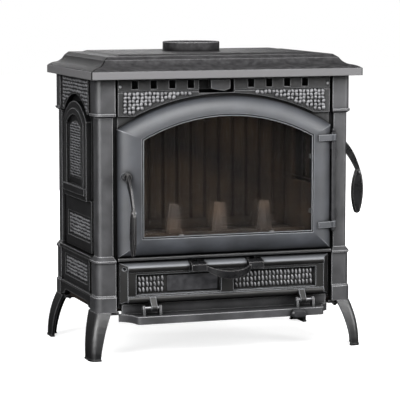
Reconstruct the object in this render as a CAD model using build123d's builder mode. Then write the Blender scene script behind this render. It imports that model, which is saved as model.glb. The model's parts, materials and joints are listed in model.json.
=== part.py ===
from build123d import *
import os
from math import cos, radians, sin, sqrt

os.makedirs("parts", exist_ok=True)

# Cast iron wood stove, in millimetres. X runs to the right, Y to the back, Z up.
# The origin is on the floor, midway between the four feet. The front faces -Y.

# Overall sizes
body_width = 727.0
body_depth = 413.0
leg_height = 126.0
body_height = 623.0
half_width = body_width / 2
half_depth = body_depth / 2
body_top = leg_height + body_height

# Running gaps between pieces
seat_gap = 0.3
shaft_gap = 0.06
moving_gap = 1.0

# Corner posts
post_width = 53.0
post_inset = 6.0
post_wall = 9.0
post_radius = 17.0
bead = 3.5
base_block_height = 40.0
plinth_height = 133.0
plinth_slope = 11.0
capital_height = 92.0
post_depth = post_inset + post_wall
plinth_top = leg_height + plinth_height
column_bottom = plinth_top + 5 + plinth_slope
column_top = body_top - capital_height - 12

# Legs
leg_splay_x = 21.5
leg_splay_y = 21.5
leg_wall = 9.0
leg_top_front = 42.0
leg_top_side = 76.0
leg_foot_front = 27.0
leg_foot_side = 58.0
leg_pad = 5.0
rod_radius = 4.0
rod_inset_x = 30.5
rod_inset_y = 29.5

# Top plate
top_side = 21.5
top_front = 32.0
top_rear = 5.0
fascia = 20.0
lip_inset = 26.0
lip_rise = 10.0
cove_inset = 50.0
cove_rise = 28.5
shoulder_inset = 63.0
shoulder_rise = 37.5
top_wall = 9.0
field_inset = 97.0
field_rear = 14.0
field_slope = 14.0
field_rise = 4.0

# Flue collar
flue_radius = 75.0
flue_wall = 5.0
flue_y = half_depth - 120.5
flue_height = 25.0
flue_drop = 22.0
flue_flange = 18.0
flue_flange_thickness = 6.0

# Plates of the body
plate = 8.0
front_face = half_depth - post_inset - 3.5
front_thickness = 12.0
front_margin = 8.0
front_half = half_width - post_width - front_margin
frieze_rise = 7.0
rear_face = half_depth - post_depth - seat_gap
side_face = half_width - post_depth - seat_gap
base_thickness = 8.0
base_top = leg_height + base_thickness

# Main door
door_side_gap = 5.5
door_half = half_width - post_width - door_side_gap
door_bottom = leg_height + 147.5
door_apex = body_top - 49.5
door_radius = 593.0
door_back = front_face + seat_gap
door_edge = 3.0
pillow = 32.0
ridge_half = door_half - 58.0
ridge_bottom = door_bottom + 47.5
ridge_apex = door_apex - 45.5
ridge_radius = 516.0
glass_thickness = 4.0
tape = 1.5
rope = 9.0
rope_depth = 6.0
door_opening = 12.0

# Main door hinge, on the right
hinge_x = half_width - post_width + 0.5
hinge_y = -(half_depth + 4.5)
hinge_pin_radius = 4.0
hinge_eye = 8.5
hinge_arm = 17.0
hinge_low = door_bottom + 58.5
hinge_high = hinge_low + 239.0
column_radius = 6.0

# Handles: reach is out from the door, drop is down from the spindle
handle_inset = 17.0
handle_x = handle_inset - door_half
handle_z = door_bottom + 216.5
spindle_radius = 6.0
handle_reach = 77.0
handle_drop = 205.0
grip_length = 125.0
grip_width = 35.0
grip_thickness = 11.0
arm_thickness = 5.0
hub_radius = 11.0
rivet_radius = 3.0
latch_length = 32.0
latch_width = 11.0
latch_thickness = 6.0
latch_room = 1.5

# Ash door
ash_half = half_width - post_width - 10.5
ash_bottom = leg_height + 21.0
ash_top = ash_bottom + 111.0
ash_opening_half = ash_half - 45.0
ash_opening_low = ash_bottom + 16.0
ash_opening_high = ash_top - 44.0
ash_field_inset = 42.0
ash_middle = 18.0
ash_pin_y = -(half_depth + 28.0)
ash_pin_z = ash_bottom - 9.0
ash_pin_radius = 4.0
ash_strap_x = 214.0
ash_strap_width = 17.0
ash_shaft_z = ash_top - 16.0
ash_shaft_y = -(half_depth + 5.5)
ash_shaft_radius = 4.0
ash_grip_x = -4.0
ash_bracket_x = 82.0
ash_bracket_width = 42.0

# Ash shelf
shelf_half = ash_half
shelf_front_half = shelf_half - 32.0
shelf_front = 56.0
shelf_top = leg_height - 7.0
shelf_lip = 21.0
shelf_wall = 7.0
knob_x = 188.0

# Air controls
slot_pitch = 52.2
slot_width = 18.0
slot_low = body_top - 28.0
slot_high = body_top - 6.0
slot_count = 4
slot_left = -99.0
slot_right = 73.0
window_low = body_top - 41.0
window_left = -76.0
window_right = 24.0
tab_left = -42.0
tab_right = 13.0
slider_thickness = 3.0

# Firebox
liner = 10.0
lining_room = 20.2
back_lining_room = 23.2
hearth_level = leg_height + 162.0
hearth_thickness = 9.0
firebox_half = side_face - plate - lining_room - liner
firebox_front = -front_face + 25.0
firebox_back = rear_face - plate - back_lining_room - liner
liner_top = body_top - 87.0
grate_length = 320.0
grate_depth = 190.0
tooth_pitch = 131.0
tooth_height = 78.0
pan_half = ash_opening_half - 15.0
pan_front = -front_face + 27.0
pan_length = 268.0
pan_height = 46.0

# Side loading door, on the right
side_door_half = half_depth - post_width - 29.5
side_door_low = leg_height + 166.0
side_door_apex = body_top - 55.0
side_door_radius = side_door_half + 26.0
side_leaf = 5.5
side_handle_y = 10.0 - side_door_half
side_handle_z = side_door_low + 268.0
side_hinge_y = side_door_half + 9.0
side_hinge_x = half_width - 5.5
side_hinge_low = side_door_low + 43.0
side_hinge_high = side_door_low + 268.0


# Sketch planes: each has Z upwards and its normal out of the stove
def facing_front(y):
    return Plane(origin=(0, y, 0), x_dir=(1, 0, 0), z_dir=(0, -1, 0))


def facing_back(y):
    return Plane(origin=(0, y, 0), x_dir=(-1, 0, 0), z_dir=(0, 1, 0))


def facing_side(side, x):
    return Plane(origin=(side * x, 0, 0), x_dir=(0, side, 0), z_dir=(side, 0, 0))


def lying_along_x(x):
    return Plane(origin=(x, 0, 0), x_dir=(0, 1, 0), z_dir=(1, 0, 0))


# Flat shapes used by several pieces
def panel_face(plane, half, low, high, centre=0.0):
    with BuildSketch(plane) as face:
        with Locations((centre, (low + high) / 2)):
            Rectangle(2 * half, high - low)
    return face.sketch


def arch_face(plane, half, low, apex, radius):
    spring = apex - radius + sqrt(radius**2 - half**2)
    with BuildSketch(plane) as face:
        with BuildLine():
            Polyline((-half, spring), (-half, low), (half, low), (half, spring))
            ThreePointArc((half, spring), (0, apex), (-half, spring))
        make_face()
    return face.sketch


def grown(outline, by):
    half, low, apex, radius = outline
    return half + by, low - by, apex + by, radius + by


def plan_face(z, x_low, x_high, y_low, y_high):
    with BuildSketch(Plane.XY.offset(z)) as face:
        with Locations(((x_low + x_high) / 2, (y_low + y_high) / 2)):
            Rectangle(x_high - x_low, y_high - y_low)
    return face.sketch


def save(piece, name):
    piece.label = name
    export_step(piece, f"parts/{name}.step")


# Corner posts: a rounded angle with a base block, plinth, column and capital
def post_face(z, grow):
    inner = min(grow, 0.0)
    with BuildSketch(Plane.XY.offset(z)) as face:
        with Locations((-half_width - grow, -half_depth - grow)):
            Rectangle(post_width + grow + inner, post_width + grow + inner, align=Align.MIN)
        fillet(face.vertices().sort_by(lambda v: v.X + v.Y)[0], post_radius + grow)
    return face.sketch


post_outline = [
    (leg_height, bead),
    (leg_height + base_block_height, bead),
    (leg_height + base_block_height + 4, 0.0),
    (plinth_top, 0.0),
    (plinth_top, bead),
    (plinth_top + 5, bead),
    (column_bottom, -post_inset),
    (column_top, -post_inset),
    (column_top + 6, bead),
    (column_top + 12, bead),
    (column_top + 12, 0.0),
    (body_top, 0.0),
]

with BuildPart() as front_left_post:
    for lower, upper in zip(post_outline, post_outline[1:]):
        if upper[0] > lower[0]:
            loft([post_face(*lower), post_face(*upper)], ruled=True)
    inside = plan_face(
        leg_height, -half_width + post_depth, -half_width + 2 * post_width,
        -half_depth + post_depth, -half_depth + 2 * post_width,
    )
    extrude(inside, amount=body_height, mode=Mode.SUBTRACT)

with BuildPart() as front_right_post:
    mirror(front_left_post.part, about=Plane.YZ)
with BuildPart() as rear_left_post:
    mirror(front_left_post.part, about=Plane.XZ)
with BuildPart() as rear_right_post:
    mirror(front_right_post.part, about=Plane.XZ)


# Legs: a rounded angle that splays outwards and tapers down to a pad
def leg_shape(z):
    drop = 1 - (z / leg_height) ** 2.2
    corner = (-half_width - bead - leg_splay_x * drop, -half_depth - bead - leg_splay_y * drop)
    share = 1 - z / leg_height
    front = leg_top_front + (leg_foot_front - leg_top_front) * share
    side = leg_top_side + (leg_foot_side - leg_top_side) * share
    return corner, front, side


def leg_face(z, grow=0.0):
    corner, front, side = leg_shape(z)
    with BuildSketch(Plane.XY.offset(z)) as face:
        with Locations((corner[0] - grow, corner[1] - grow)):
            Rectangle(front + 2 * grow, side + 2 * grow, align=Align.MIN)
        with Locations((corner[0] + leg_wall, corner[1] + leg_wall)):
            Rectangle(front, side, align=Align.MIN, mode=Mode.SUBTRACT)
        fillet(face.vertices().sort_by(lambda v: v.X + v.Y)[0], post_radius + grow)
    return face.sketch


leg_steps = 7
leg_levels = [leg_pad + (leg_height - leg_pad) * step / leg_steps for step in range(leg_steps + 1)]
rod_x = half_width - rod_inset_x
rod_y = half_depth - rod_inset_y
flange = 8.0

with BuildPart() as front_left_leg:
    loft([leg_face(z) for z in leg_levels], ruled=True)
    extrude(leg_face(leg_pad, 1.5), amount=-leg_pad)
    flange_plan = plan_face(
        leg_height - flange, -half_width + 2, -half_width + post_width + 8,
        -half_depth + 2, -half_depth + post_width + 30,
    )
    extrude(flange_plan, amount=flange - seat_gap)
    with Locations(Plane.XY.offset(leg_height)):
        with Locations((-rod_x, -rod_y)):
            Hole(rod_radius + 0.5, depth=2 * flange)

with BuildPart() as front_right_leg:
    mirror(front_left_leg.part, about=Plane.YZ)
with BuildPart() as rear_left_leg:
    mirror(front_left_leg.part, about=Plane.XZ)
with BuildPart() as rear_right_leg:
    mirror(front_right_leg.part, about=Plane.XZ)

# Base plate with runners for the ash pan, an air inlet and guides for its damper
pan_floor = ash_opening_low
inlet_y = rear_face - 61.2
inlet_radius = 25.0
damper_half = 32.0
damper_thickness = 4.0
damper_top = leg_height - seat_gap

with BuildPart() as base_plate:
    extrude(plan_face(leg_height, -side_face, side_face, -rear_face, rear_face), amount=base_thickness)
    with BuildSketch(Plane.XY.offset(base_top)) as runners:
        with Locations(*[(side * (pan_half - 40), pan_front + pan_length / 2 + 1) for side in (-1, 1)]):
            Rectangle(8, pan_length + 2)
    extrude(amount=pan_floor - base_top)
    with BuildSketch(Plane.XY.offset(leg_height)) as guide_walls:
        with Locations(*[(knob_x + side * (damper_half + 3.5), inlet_y - 12) for side in (-1, 1)]):
            Rectangle(6, 100)
    extrude(amount=-damper_thickness - 4)
    with BuildSketch(Plane.XY.offset(leg_height - damper_thickness - 1)) as guide_lips:
        with Locations((knob_x - damper_half, inlet_y - 12), (knob_x + damper_half, inlet_y - 12)):
            Rectangle(13, 100)
    extrude(amount=-3)
    with Locations(Plane.XY.offset(base_top)):
        with GridLocations(2 * rod_x, 2 * rod_y, 2, 2):
            Hole(rod_radius + 0.5)
        with Locations((knob_x, inlet_y)):
            Hole(inlet_radius, depth=base_thickness)

# Top plate: a fascia, lip, cove and shoulder carried round the front and both sides
edge_x = half_width + top_side
edge_front = -half_depth - top_front
edge_rear = half_depth + top_rear
field_top = body_top + fascia + shoulder_rise + field_rise
rod_boss_low = body_top + seat_gap

with BuildPart() as top_plate:
    with BuildLine() as rim_path:
        Polyline(
            (-edge_x, edge_rear, body_top), (-edge_x, edge_front, body_top),
            (edge_x, edge_front, body_top), (edge_x, edge_rear, body_top),
        )
    rim_plane = Plane(origin=(-edge_x, edge_rear, body_top), x_dir=(1, 0, 0), z_dir=(0, -1, 0))
    with BuildSketch(rim_plane) as rim_profile:
        with BuildLine():
            Polyline((shoulder_inset, fascia + shoulder_rise), (cove_inset, fascia + cove_rise))
            RadiusArc(
                (cove_inset, fascia + cove_rise), (lip_inset, fascia + lip_rise), 34,
            )
            ThreePointArc(
                (lip_inset, fascia + lip_rise), (lip_inset / 2, fascia + 0.72 * lip_rise), (0, fascia),
            )
            Polyline(
                (0, fascia), (0, 0), (top_side + post_depth, 0), (top_side + post_depth, top_wall),
                (shoulder_inset, fascia + shoulder_rise - top_wall), (shoulder_inset, fascia + shoulder_rise),
            )
        make_face()
    sweep(path=rim_path.wire(), transition=Transition.RIGHT)
    slab = plan_face(
        body_top + fascia + shoulder_rise - top_wall, -edge_x + shoulder_inset, edge_x - shoulder_inset,
        edge_front + shoulder_inset, edge_rear,
    )
    extrude(slab, amount=top_wall)
    field_low = plan_face(
        field_top - field_rise, -edge_x + field_inset, edge_x - field_inset,
        edge_front + field_inset, edge_rear - field_rear,
    )
    field_high = plan_face(
        field_top, -edge_x + field_inset + field_slope, edge_x - field_inset - field_slope,
        edge_front + field_inset + field_slope, edge_rear - field_rear - field_slope / 2,
    )
    loft([field_low, field_high], ruled=True)
    rear_wall = plan_face(
        body_top, -edge_x + shoulder_inset, edge_x - shoulder_inset, edge_rear - top_wall, edge_rear,
    )
    extrude(rear_wall, amount=fascia + shoulder_rise)
    with BuildSketch(Plane.XY.offset(rod_boss_low)) as rod_bosses:
        with GridLocations(2 * rod_x, 2 * rod_y, 2, 2):
            Circle(2.4 * rod_radius)
    extrude(amount=body_top + fascia + 19 - rod_boss_low)
    with Locations(Plane.XY.offset(field_top)):
        with Locations((0, flue_y)):
            Hole(flue_radius + flue_wall + seat_gap)
    with BuildSketch(Plane.XY.offset(rod_boss_low)) as rod_holes:
        with GridLocations(2 * rod_x, 2 * rod_y, 2, 2):
            Circle(rod_radius + 0.1)
    extrude(amount=body_top + fascia + 10 - rod_boss_low, mode=Mode.SUBTRACT)

# Flue collar: a spigot with a flange that bolts up under the top plate
collar_low = body_top + fascia + shoulder_rise - top_wall - seat_gap
collar_top = field_top + flue_height
flange_bolt_ring = flue_radius + flue_wall + flue_flange / 2
with BuildPart() as flue_collar:
    with BuildSketch(Plane.XZ.offset(-flue_y)) as collar_profile:
        with BuildLine():
            Polyline(
                (flue_radius, collar_low - flue_drop), (flue_radius + flue_wall, collar_low - flue_drop),
                (flue_radius + flue_wall, collar_low - flue_flange_thickness),
                (flue_radius + flue_wall + flue_flange, collar_low - flue_flange_thickness),
                (flue_radius + flue_wall + flue_flange, collar_low), (flue_radius + flue_wall, collar_low),
                (flue_radius + flue_wall, collar_top - 1.5), (flue_radius + flue_wall - 1.5, collar_top),
                (flue_radius, collar_top), (flue_radius, collar_low - flue_drop),
            )
        make_face()
    revolve(axis=Axis((0, flue_y, 0), (0, 0, 1)))
    with Locations(Plane.XY.offset(collar_low)):
        with Locations((0, flue_y)):
            with PolarLocations(flange_bolt_ring, 3, start_angle=90):
                Hole(3.2, depth=flue_flange_thickness)

with BuildPart() as collar_bolts:
    with BuildSketch(Plane.XY.offset(collar_low - flue_flange_thickness)) as collar_heads:
        with Locations((0, flue_y)):
            with PolarLocations(flange_bolt_ring, 3, start_angle=90):
                RegularPolygon(6, 6)
    extrude(amount=-4)
    with BuildSketch(Plane.XY.offset(collar_low - flue_flange_thickness)) as collar_shanks:
        with Locations((0, flue_y)):
            with PolarLocations(flange_bolt_ring, 3, start_angle=90):
                Circle(3.0)
    extrude(amount=flue_flange_thickness + 0.2)


# Sides: arched relief, bands above and below, and the ledge that carries the hearth
arch_outline = (side_door_half - 14, side_door_low + 123, side_door_apex - 14, side_door_radius - 4)
side_door_outline = (side_door_half, side_door_low, side_door_apex, side_door_radius)
side_opening = (side_door_half - 36, side_door_low + 148, side_door_apex - 38, side_door_radius - 26)
side_low = base_top + seat_gap
side_high = body_top - seat_gap
side_reach = rear_face - plate - seat_gap
leaf_level = side_face + seat_gap + side_leaf


def add_arch_relief(side):
    frame_level = half_width + 1.5
    rim_level = half_width + 4.5
    panel_level = rim_level - 8
    outline = arch_outline
    extrude(arch_face(facing_side(side, leaf_level), *outline), amount=frame_level - leaf_level)
    extrude(arch_face(facing_side(side, leaf_level), *grown(outline, -19)), amount=rim_level - leaf_level)
    extrude(
        arch_face(facing_side(side, rim_level), *grown(outline, -36)), amount=-8, mode=Mode.SUBTRACT,
    )
    extrude(arch_face(facing_side(side, panel_level), *grown(outline, -55)), amount=2.5)
    sill = panel_face(facing_side(side, leaf_level), outline[0] - 6, outline[1] + 14, outline[1] + 34)
    extrude(sill, amount=rim_level + 2 - leaf_level)
    field = panel_face(facing_side(side, leaf_level), outline[0], side_door_low + 11, side_door_low + 78)
    extrude(field, amount=-4, mode=Mode.SUBTRACT)


def add_side_bands(side):
    capital_low = column_top + 6
    rise = half_width - side_face
    moulding_end = half_depth - post_width - moving_gap
    capital = panel_face(facing_side(side, side_face), side_door_half + 4, capital_low, body_top - 4)
    extrude(capital, amount=rise)
    extrude(
        arch_face(facing_side(side, half_width), *grown(side_door_outline, 6)), amount=-rise,
        mode=Mode.SUBTRACT,
    )
    base = panel_face(facing_side(side, side_face), side_door_half + 6, leg_height + 36, plinth_top + 2)
    extrude(base, amount=rise)
    base_field = panel_face(
        facing_side(side, half_width), side_door_half - 14, leg_height + 64, leg_height + 122,
    )
    extrude(base_field, amount=-4, mode=Mode.SUBTRACT)
    for low, high in ((plinth_top + 3, plinth_top + 13), (leg_height + 38, leg_height + 44)):
        bar = panel_face(facing_side(side, side_face), moulding_end, low, high)
        extrude(bar, amount=rise + bead)
    skirt_low = leg_height + 2
    with BuildSketch(facing_side(side, side_face)) as skirt:
        with BuildLine():
            Polyline(
                (side_door_half, leg_height + 6), (moulding_end, skirt_low), (moulding_end, leg_height + 39),
                (-moulding_end, leg_height + 39), (-moulding_end, skirt_low),
                (-side_door_half, leg_height + 6),
            )
            ThreePointArc(
                (-side_door_half, leg_height + 6), (12 - side_door_half, leg_height + 16),
                (28 - side_door_half, leg_height + 20),
            )
            Line((28 - side_door_half, leg_height + 20), (side_door_half - 28, leg_height + 20))
            ThreePointArc(
                (side_door_half - 28, leg_height + 20), (side_door_half - 12, leg_height + 16),
                (side_door_half, leg_height + 6),
            )
        make_face()
    extrude(skirt.sketch, amount=rise + 1.5)
    ledge_plane = facing_side(side, side_face - plate - 14)
    ledge_half = moulding_end - 2.5
    extrude(panel_face(ledge_plane, ledge_half, hearth_level - 12, hearth_level - seat_gap), amount=14)


with BuildPart() as left_side_panel:
    extrude(
        panel_face(facing_side(-1, side_face - plate), side_reach, side_low, side_high), amount=plate,
    )
    add_side_bands(-1)
    leaf_field = panel_face(facing_side(-1, side_face), side_door_half, column_bottom, arch_outline[1] + 1)
    extrude(leaf_field, amount=leaf_level - side_face)
    extrude(arch_face(facing_side(-1, side_face), *arch_outline), amount=leaf_level - side_face)
    add_arch_relief(-1)

side_seat = half_width + 1.8
side_cam_x = side_face - plate - moving_gap
knuckle = 5.5
knuckle_length = 17.0

with BuildPart() as right_side_panel:
    extrude(
        panel_face(facing_side(1, side_face - plate), side_reach, side_low, side_high), amount=plate,
    )
    add_side_bands(1)
    extrude(
        arch_face(facing_side(1, side_face), *side_opening), amount=-plate, mode=Mode.SUBTRACT,
    )
    cam_window = panel_face(
        facing_side(1, side_face), latch_width / 2 + latch_room, side_handle_z - spindle_radius - latch_room,
        side_handle_z + latch_length + latch_room, side_handle_y,
    )
    extrude(cam_window, amount=-plate, mode=Mode.SUBTRACT)
    for z in (side_hinge_low, side_hinge_high):
        with BuildSketch(Plane.XY.offset(z)) as fixed_knuckle:
            with Locations((side_hinge_x, side_hinge_y)):
                Circle(knuckle)
            with Locations(((side_face - 1 + side_hinge_x) / 2, side_hinge_y + 1.5)):
                Rectangle(side_hinge_x - side_face + 1, 2 * knuckle - 3)
            with Locations((side_hinge_x, side_hinge_y)):
                Circle(3 + shaft_gap, mode=Mode.SUBTRACT)
        extrude(amount=knuckle_length)

# Side loading door with its rope seal and hinge pins
with BuildPart() as side_door:
    extrude(arch_face(facing_side(1, side_face + seat_gap), *side_door_outline), amount=side_leaf)
    add_arch_relief(1)
    with BuildSketch(facing_side(1, leaf_level - 1)) as side_boss:
        with Locations((side_handle_y, side_handle_z)):
            Circle(hub_radius - 3)
    extrude(amount=side_seat - leaf_level + 1)
    extrude(
        arch_face(facing_side(1, side_face), *grown(side_opening, 16)), amount=rope_depth, mode=Mode.SUBTRACT,
    )
    extrude(arch_face(facing_side(1, side_face + seat_gap), *grown(side_opening, 8)), amount=rope_depth)
    with BuildSketch(facing_side(1, side_seat)) as side_bearing:
        with Locations((side_handle_y, side_handle_z)):
            Circle(spindle_radius + shaft_gap)
    extrude(amount=-20, mode=Mode.SUBTRACT)
    for z in (side_hinge_low, side_hinge_high):
        with BuildSketch(Plane.XY.offset(z + knuckle_length + 0.5)) as moving_knuckle:
            with Locations((side_hinge_x, side_hinge_y)):
                Circle(knuckle)
            with Locations((side_hinge_x - 3.5, side_hinge_y - 6)):
                Rectangle(11, 12)
            with Locations((side_hinge_x, side_hinge_y)):
                Circle(3 + shaft_gap, mode=Mode.SUBTRACT)
        extrude(amount=knuckle_length)

with BuildPart() as side_gasket:
    extrude(
        arch_face(facing_side(1, side_face + 0.1), *grown(side_opening, 15.9)), amount=rope_depth - 0.1,
    )
    extrude(
        arch_face(facing_side(1, side_face), *grown(side_opening, 8.1)), amount=rope_depth + 1,
        mode=Mode.SUBTRACT,
    )

with BuildPart() as side_hinge_pins:
    for z in (side_hinge_low, side_hinge_high):
        with Locations((side_hinge_x, side_hinge_y, z - 1.5)):
            Cylinder(3, 2 * knuckle_length + 4, align=(Align.CENTER, Align.CENTER, Align.MIN))
        with Locations((side_hinge_x, side_hinge_y, z + 2 * knuckle_length + 1)):
            Cylinder(5, 2.5, align=(Align.CENTER, Align.CENTER, Align.MIN))

# Rear panel with a raised centre field and stiffening ribs
back_low = leg_height + 74
back_high = body_top - 59
with BuildPart() as back_panel:
    extrude(
        panel_face(facing_back(rear_face - plate), side_face - plate - 2, side_low, side_high), amount=plate,
    )
    extrude(panel_face(facing_back(rear_face), side_face - 98.2, back_low, back_high), amount=4)
    with BuildSketch(facing_back(rear_face + 4)) as back_ribs:
        with Locations((0, (back_low + back_high) / 2)):
            with GridLocations(100, 1, 5, 1):
                SlotOverall(back_high - back_low - 60, 9, rotation=90)
    extrude(amount=4)

# Front plate: frieze, arch over the door, both openings, air slots and latch slots
door_outline = (door_half, door_bottom, door_apex, door_radius)
ridge_outline = (ridge_half, ridge_bottom, ridge_apex, ridge_radius)
front_low = base_top + seat_gap
front_high = body_top - seat_gap
frieze_low = column_top + 4
frieze_face = front_face + frieze_rise
finger_places = (ash_grip_x - ash_bracket_x, ash_grip_x + ash_bracket_x)
finger_width = 10.0
finger_reach = 37.0
finger_slot_low = ash_shaft_z - 15.5
finger_slot_high = ash_top + 1


def slot_places():
    left = [slot_left - slot_pitch * k for k in range(slot_count)]
    return left + [slot_right + slot_pitch * k for k in range(slot_count)]


with BuildPart() as front_plate:
    extrude(
        panel_face(facing_front(-front_face + front_thickness), front_half, front_low, front_high),
        amount=front_thickness,
    )
    extrude(
        panel_face(facing_front(-front_face + front_thickness), side_face - 0.5, front_low, front_high),
        amount=rear_face - front_face + front_thickness,
    )
    extrude(panel_face(facing_front(-front_face), front_half, frieze_low, front_high), amount=frieze_rise)
    extrude(
        arch_face(facing_front(-front_face), *grown(door_outline, 7)), amount=frieze_rise,
        mode=Mode.SUBTRACT,
    )
    with BuildSketch(facing_front(-frieze_face)) as frieze_line:
        with Locations((0, slot_low - 7)):
            Rectangle(2 * front_half, 2.5)
    extrude(amount=-2, mode=Mode.SUBTRACT)
    extrude(
        arch_face(facing_front(-front_face), *grown(ridge_outline, door_opening)), amount=-front_thickness,
        mode=Mode.SUBTRACT,
    )
    extrude(
        panel_face(facing_front(-front_face), ash_opening_half, ash_opening_low, ash_opening_high),
        amount=-front_thickness, mode=Mode.SUBTRACT,
    )
    for z in (slot_low - 8, slot_high + 2.5):
        rail = panel_face(facing_front(-front_face + front_thickness), front_half - 4.5, z, z + 3)
        extrude(rail, amount=-slider_thickness - 1)
    with BuildSketch(facing_front(-frieze_face)) as air_slots:
        with Locations(*[(x, (slot_low + slot_high) / 2) for x in slot_places()]):
            Rectangle(slot_width, slot_high - slot_low)
        with Locations(((window_left + window_right) / 2, (window_low + slot_high) / 2)):
            Rectangle(window_right - window_left, slot_high - window_low)
    extrude(amount=-front_thickness - frieze_rise - 10, mode=Mode.SUBTRACT)
    with BuildSketch(facing_front(-front_face)) as latch_slots:
        with Locations((handle_x, handle_z + (latch_length - spindle_radius) / 2)):
            Rectangle(
                latch_width + 2 * latch_room, latch_length + spindle_radius + 2 * latch_room,
            )
        with Locations(*[(x, (finger_slot_low + finger_slot_high) / 2) for x in finger_places]):
            Rectangle(finger_width + 5, finger_slot_high - finger_slot_low)
    extrude(amount=-front_thickness, mode=Mode.SUBTRACT)
    ledge = panel_face(facing_front(-front_face), front_half + 3.5, plinth_top + 3, door_bottom - 1.5)
    extrude(ledge, amount=15)
    fillet(front_plate.edges().filter_by(Axis.X).group_by(Axis.Y)[0], 4)

# Round-headed screws at the ends of the frieze
with BuildPart() as frieze_screws:
    with BuildSketch(facing_front(-frieze_face)) as screw_heads:
        with Locations((-front_half + 6, slot_low + 7), (front_half - 6, slot_low + 7)):
            Circle(4.2)
    extrude(amount=2.4)
    chamfer(frieze_screws.faces().filter_by(Axis.Y).group_by(Axis.Y)[0].edges(), 1.4)

# Secondary air slider behind the slots, with its tab at the centre
slider_front = -front_face + front_thickness + seat_gap
with BuildPart() as secondary_air_slider:
    slider_plane = facing_front(slider_front + slider_thickness)
    slider_bar = panel_face(slider_plane, front_half - 16.5, slot_low - 4, slot_high + 2)
    extrude(slider_bar, amount=slider_thickness)
    with BuildSketch(slider_plane) as slider_slots:
        with Locations(*[(x - 5, (slot_low + slot_high) / 2) for x in slot_places()]):
            Rectangle(9, slot_high - slot_low)
    extrude(amount=slider_thickness, mode=Mode.SUBTRACT)
    with BuildSketch(facing_front(slider_front)) as tab:
        with BuildLine():
            Polyline(
                (tab_left, slot_high - 1), (tab_left, slot_low - 2), (-5, slot_low - 9),
                (tab_right, slot_low - 2), (tab_right, slot_high - 1), (tab_left, slot_high - 1),
            )
        make_face()
    extrude(amount=front_thickness + 8)

# Main door: pillow rising to a ridge, glass pocket, rope groove and hinge arms
door_front = door_back + door_edge + pillow
glass_seat = door_front - 8.0
glass_front = glass_seat - tape
clip_ledge = glass_front - glass_thickness - 3.5
handle_seat = door_back + 32.0
rope_inner = 21.5
rope_outer = rope_inner + rope


def pillow_face(angle):
    share = 1 - cos(radians(angle))
    rise = door_edge + pillow * sin(radians(angle))
    outline = [a + (b - a) * share for a, b in zip(door_outline, ridge_outline)]
    return arch_face(facing_front(-door_back - rise), *outline)


def arm_face(z):
    with BuildSketch(Plane.XY.offset(z)) as face:
        with BuildLine():
            Polyline(
                (hinge_x - 55, -door_front + 8), (hinge_x - 52, -door_front - 4),
                (hinge_x - 12, -door_front + 6),
                (hinge_x, hinge_y - hinge_eye), (hinge_x, hinge_y + hinge_eye),
                (hinge_x - 25, -door_back - 1), (hinge_x - 55, -door_front + 8),
            )
        make_face()
        with Locations((hinge_x, hinge_y)):
            Circle(hinge_eye)
    return face.sketch


with BuildPart() as door_frame:
    extrude(arch_face(facing_front(-door_back), *door_outline), amount=door_edge)
    loft([pillow_face(a) for a in (0, 22, 45, 68, 90)])
    for z in (hinge_low, hinge_high):
        extrude(arm_face(z), amount=hinge_arm)
        with BuildSketch(Plane.XY.offset(z)) as eye:
            with Locations((hinge_x, hinge_y)):
                Circle(hinge_pin_radius + shaft_gap)
        extrude(amount=hinge_arm, mode=Mode.SUBTRACT)
    with BuildSketch(facing_front(-door_back - door_edge)) as spindle_boss:
        with Locations((handle_x, handle_z)):
            Circle(hub_radius)
    extrude(amount=handle_seat - door_back - door_edge)
    extrude(
        arch_face(facing_front(-door_back), *grown(ridge_outline, rope_outer)), amount=rope_depth,
        mode=Mode.SUBTRACT,
    )
    extrude(arch_face(facing_front(-door_back), *grown(ridge_outline, rope_inner)), amount=rope_depth)
    extrude(
        arch_face(facing_front(-door_front), *grown(ridge_outline, -2)), amount=-4, mode=Mode.SUBTRACT,
    )
    extrude(arch_face(facing_front(-door_front + 4), *grown(ridge_outline, -5)), amount=4)
    extrude(
        arch_face(facing_front(-door_front), *grown(ridge_outline, -7)), amount=-pillow - door_edge,
        mode=Mode.SUBTRACT,
    )
    extrude(
        arch_face(facing_front(-door_back), *grown(ridge_outline, 3)), amount=glass_seat - door_back,
        mode=Mode.SUBTRACT,
    )
    extrude(
        arch_face(facing_front(-door_back), *grown(ridge_outline, 17)), amount=clip_ledge - door_back,
        mode=Mode.SUBTRACT,
    )
    with BuildSketch(facing_front(-handle_seat)) as spindle_bearing:
        with Locations((handle_x, handle_z)):
            Circle(spindle_radius + shaft_gap)
    extrude(amount=-40, mode=Mode.SUBTRACT)

with BuildPart() as door_glass:
    extrude(arch_face(facing_front(-glass_front), *grown(ridge_outline, 1)), amount=-glass_thickness)

with BuildPart() as glass_tape:
    extrude(arch_face(facing_front(-glass_front), *grown(ridge_outline, 1)), amount=tape)
    extrude(
        arch_face(facing_front(-glass_front), *grown(ridge_outline, -6)), amount=tape, mode=Mode.SUBTRACT,
    )

with BuildPart() as door_gasket:
    extrude(
        arch_face(facing_front(-front_face - 0.1), *grown(ridge_outline, rope_outer - 0.1)),
        amount=rope_depth - 0.1,
    )
    extrude(
        arch_face(facing_front(-front_face), *grown(ridge_outline, rope_inner + 0.1)), amount=rope_depth + 1,
        mode=Mode.SUBTRACT,
    )

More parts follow.
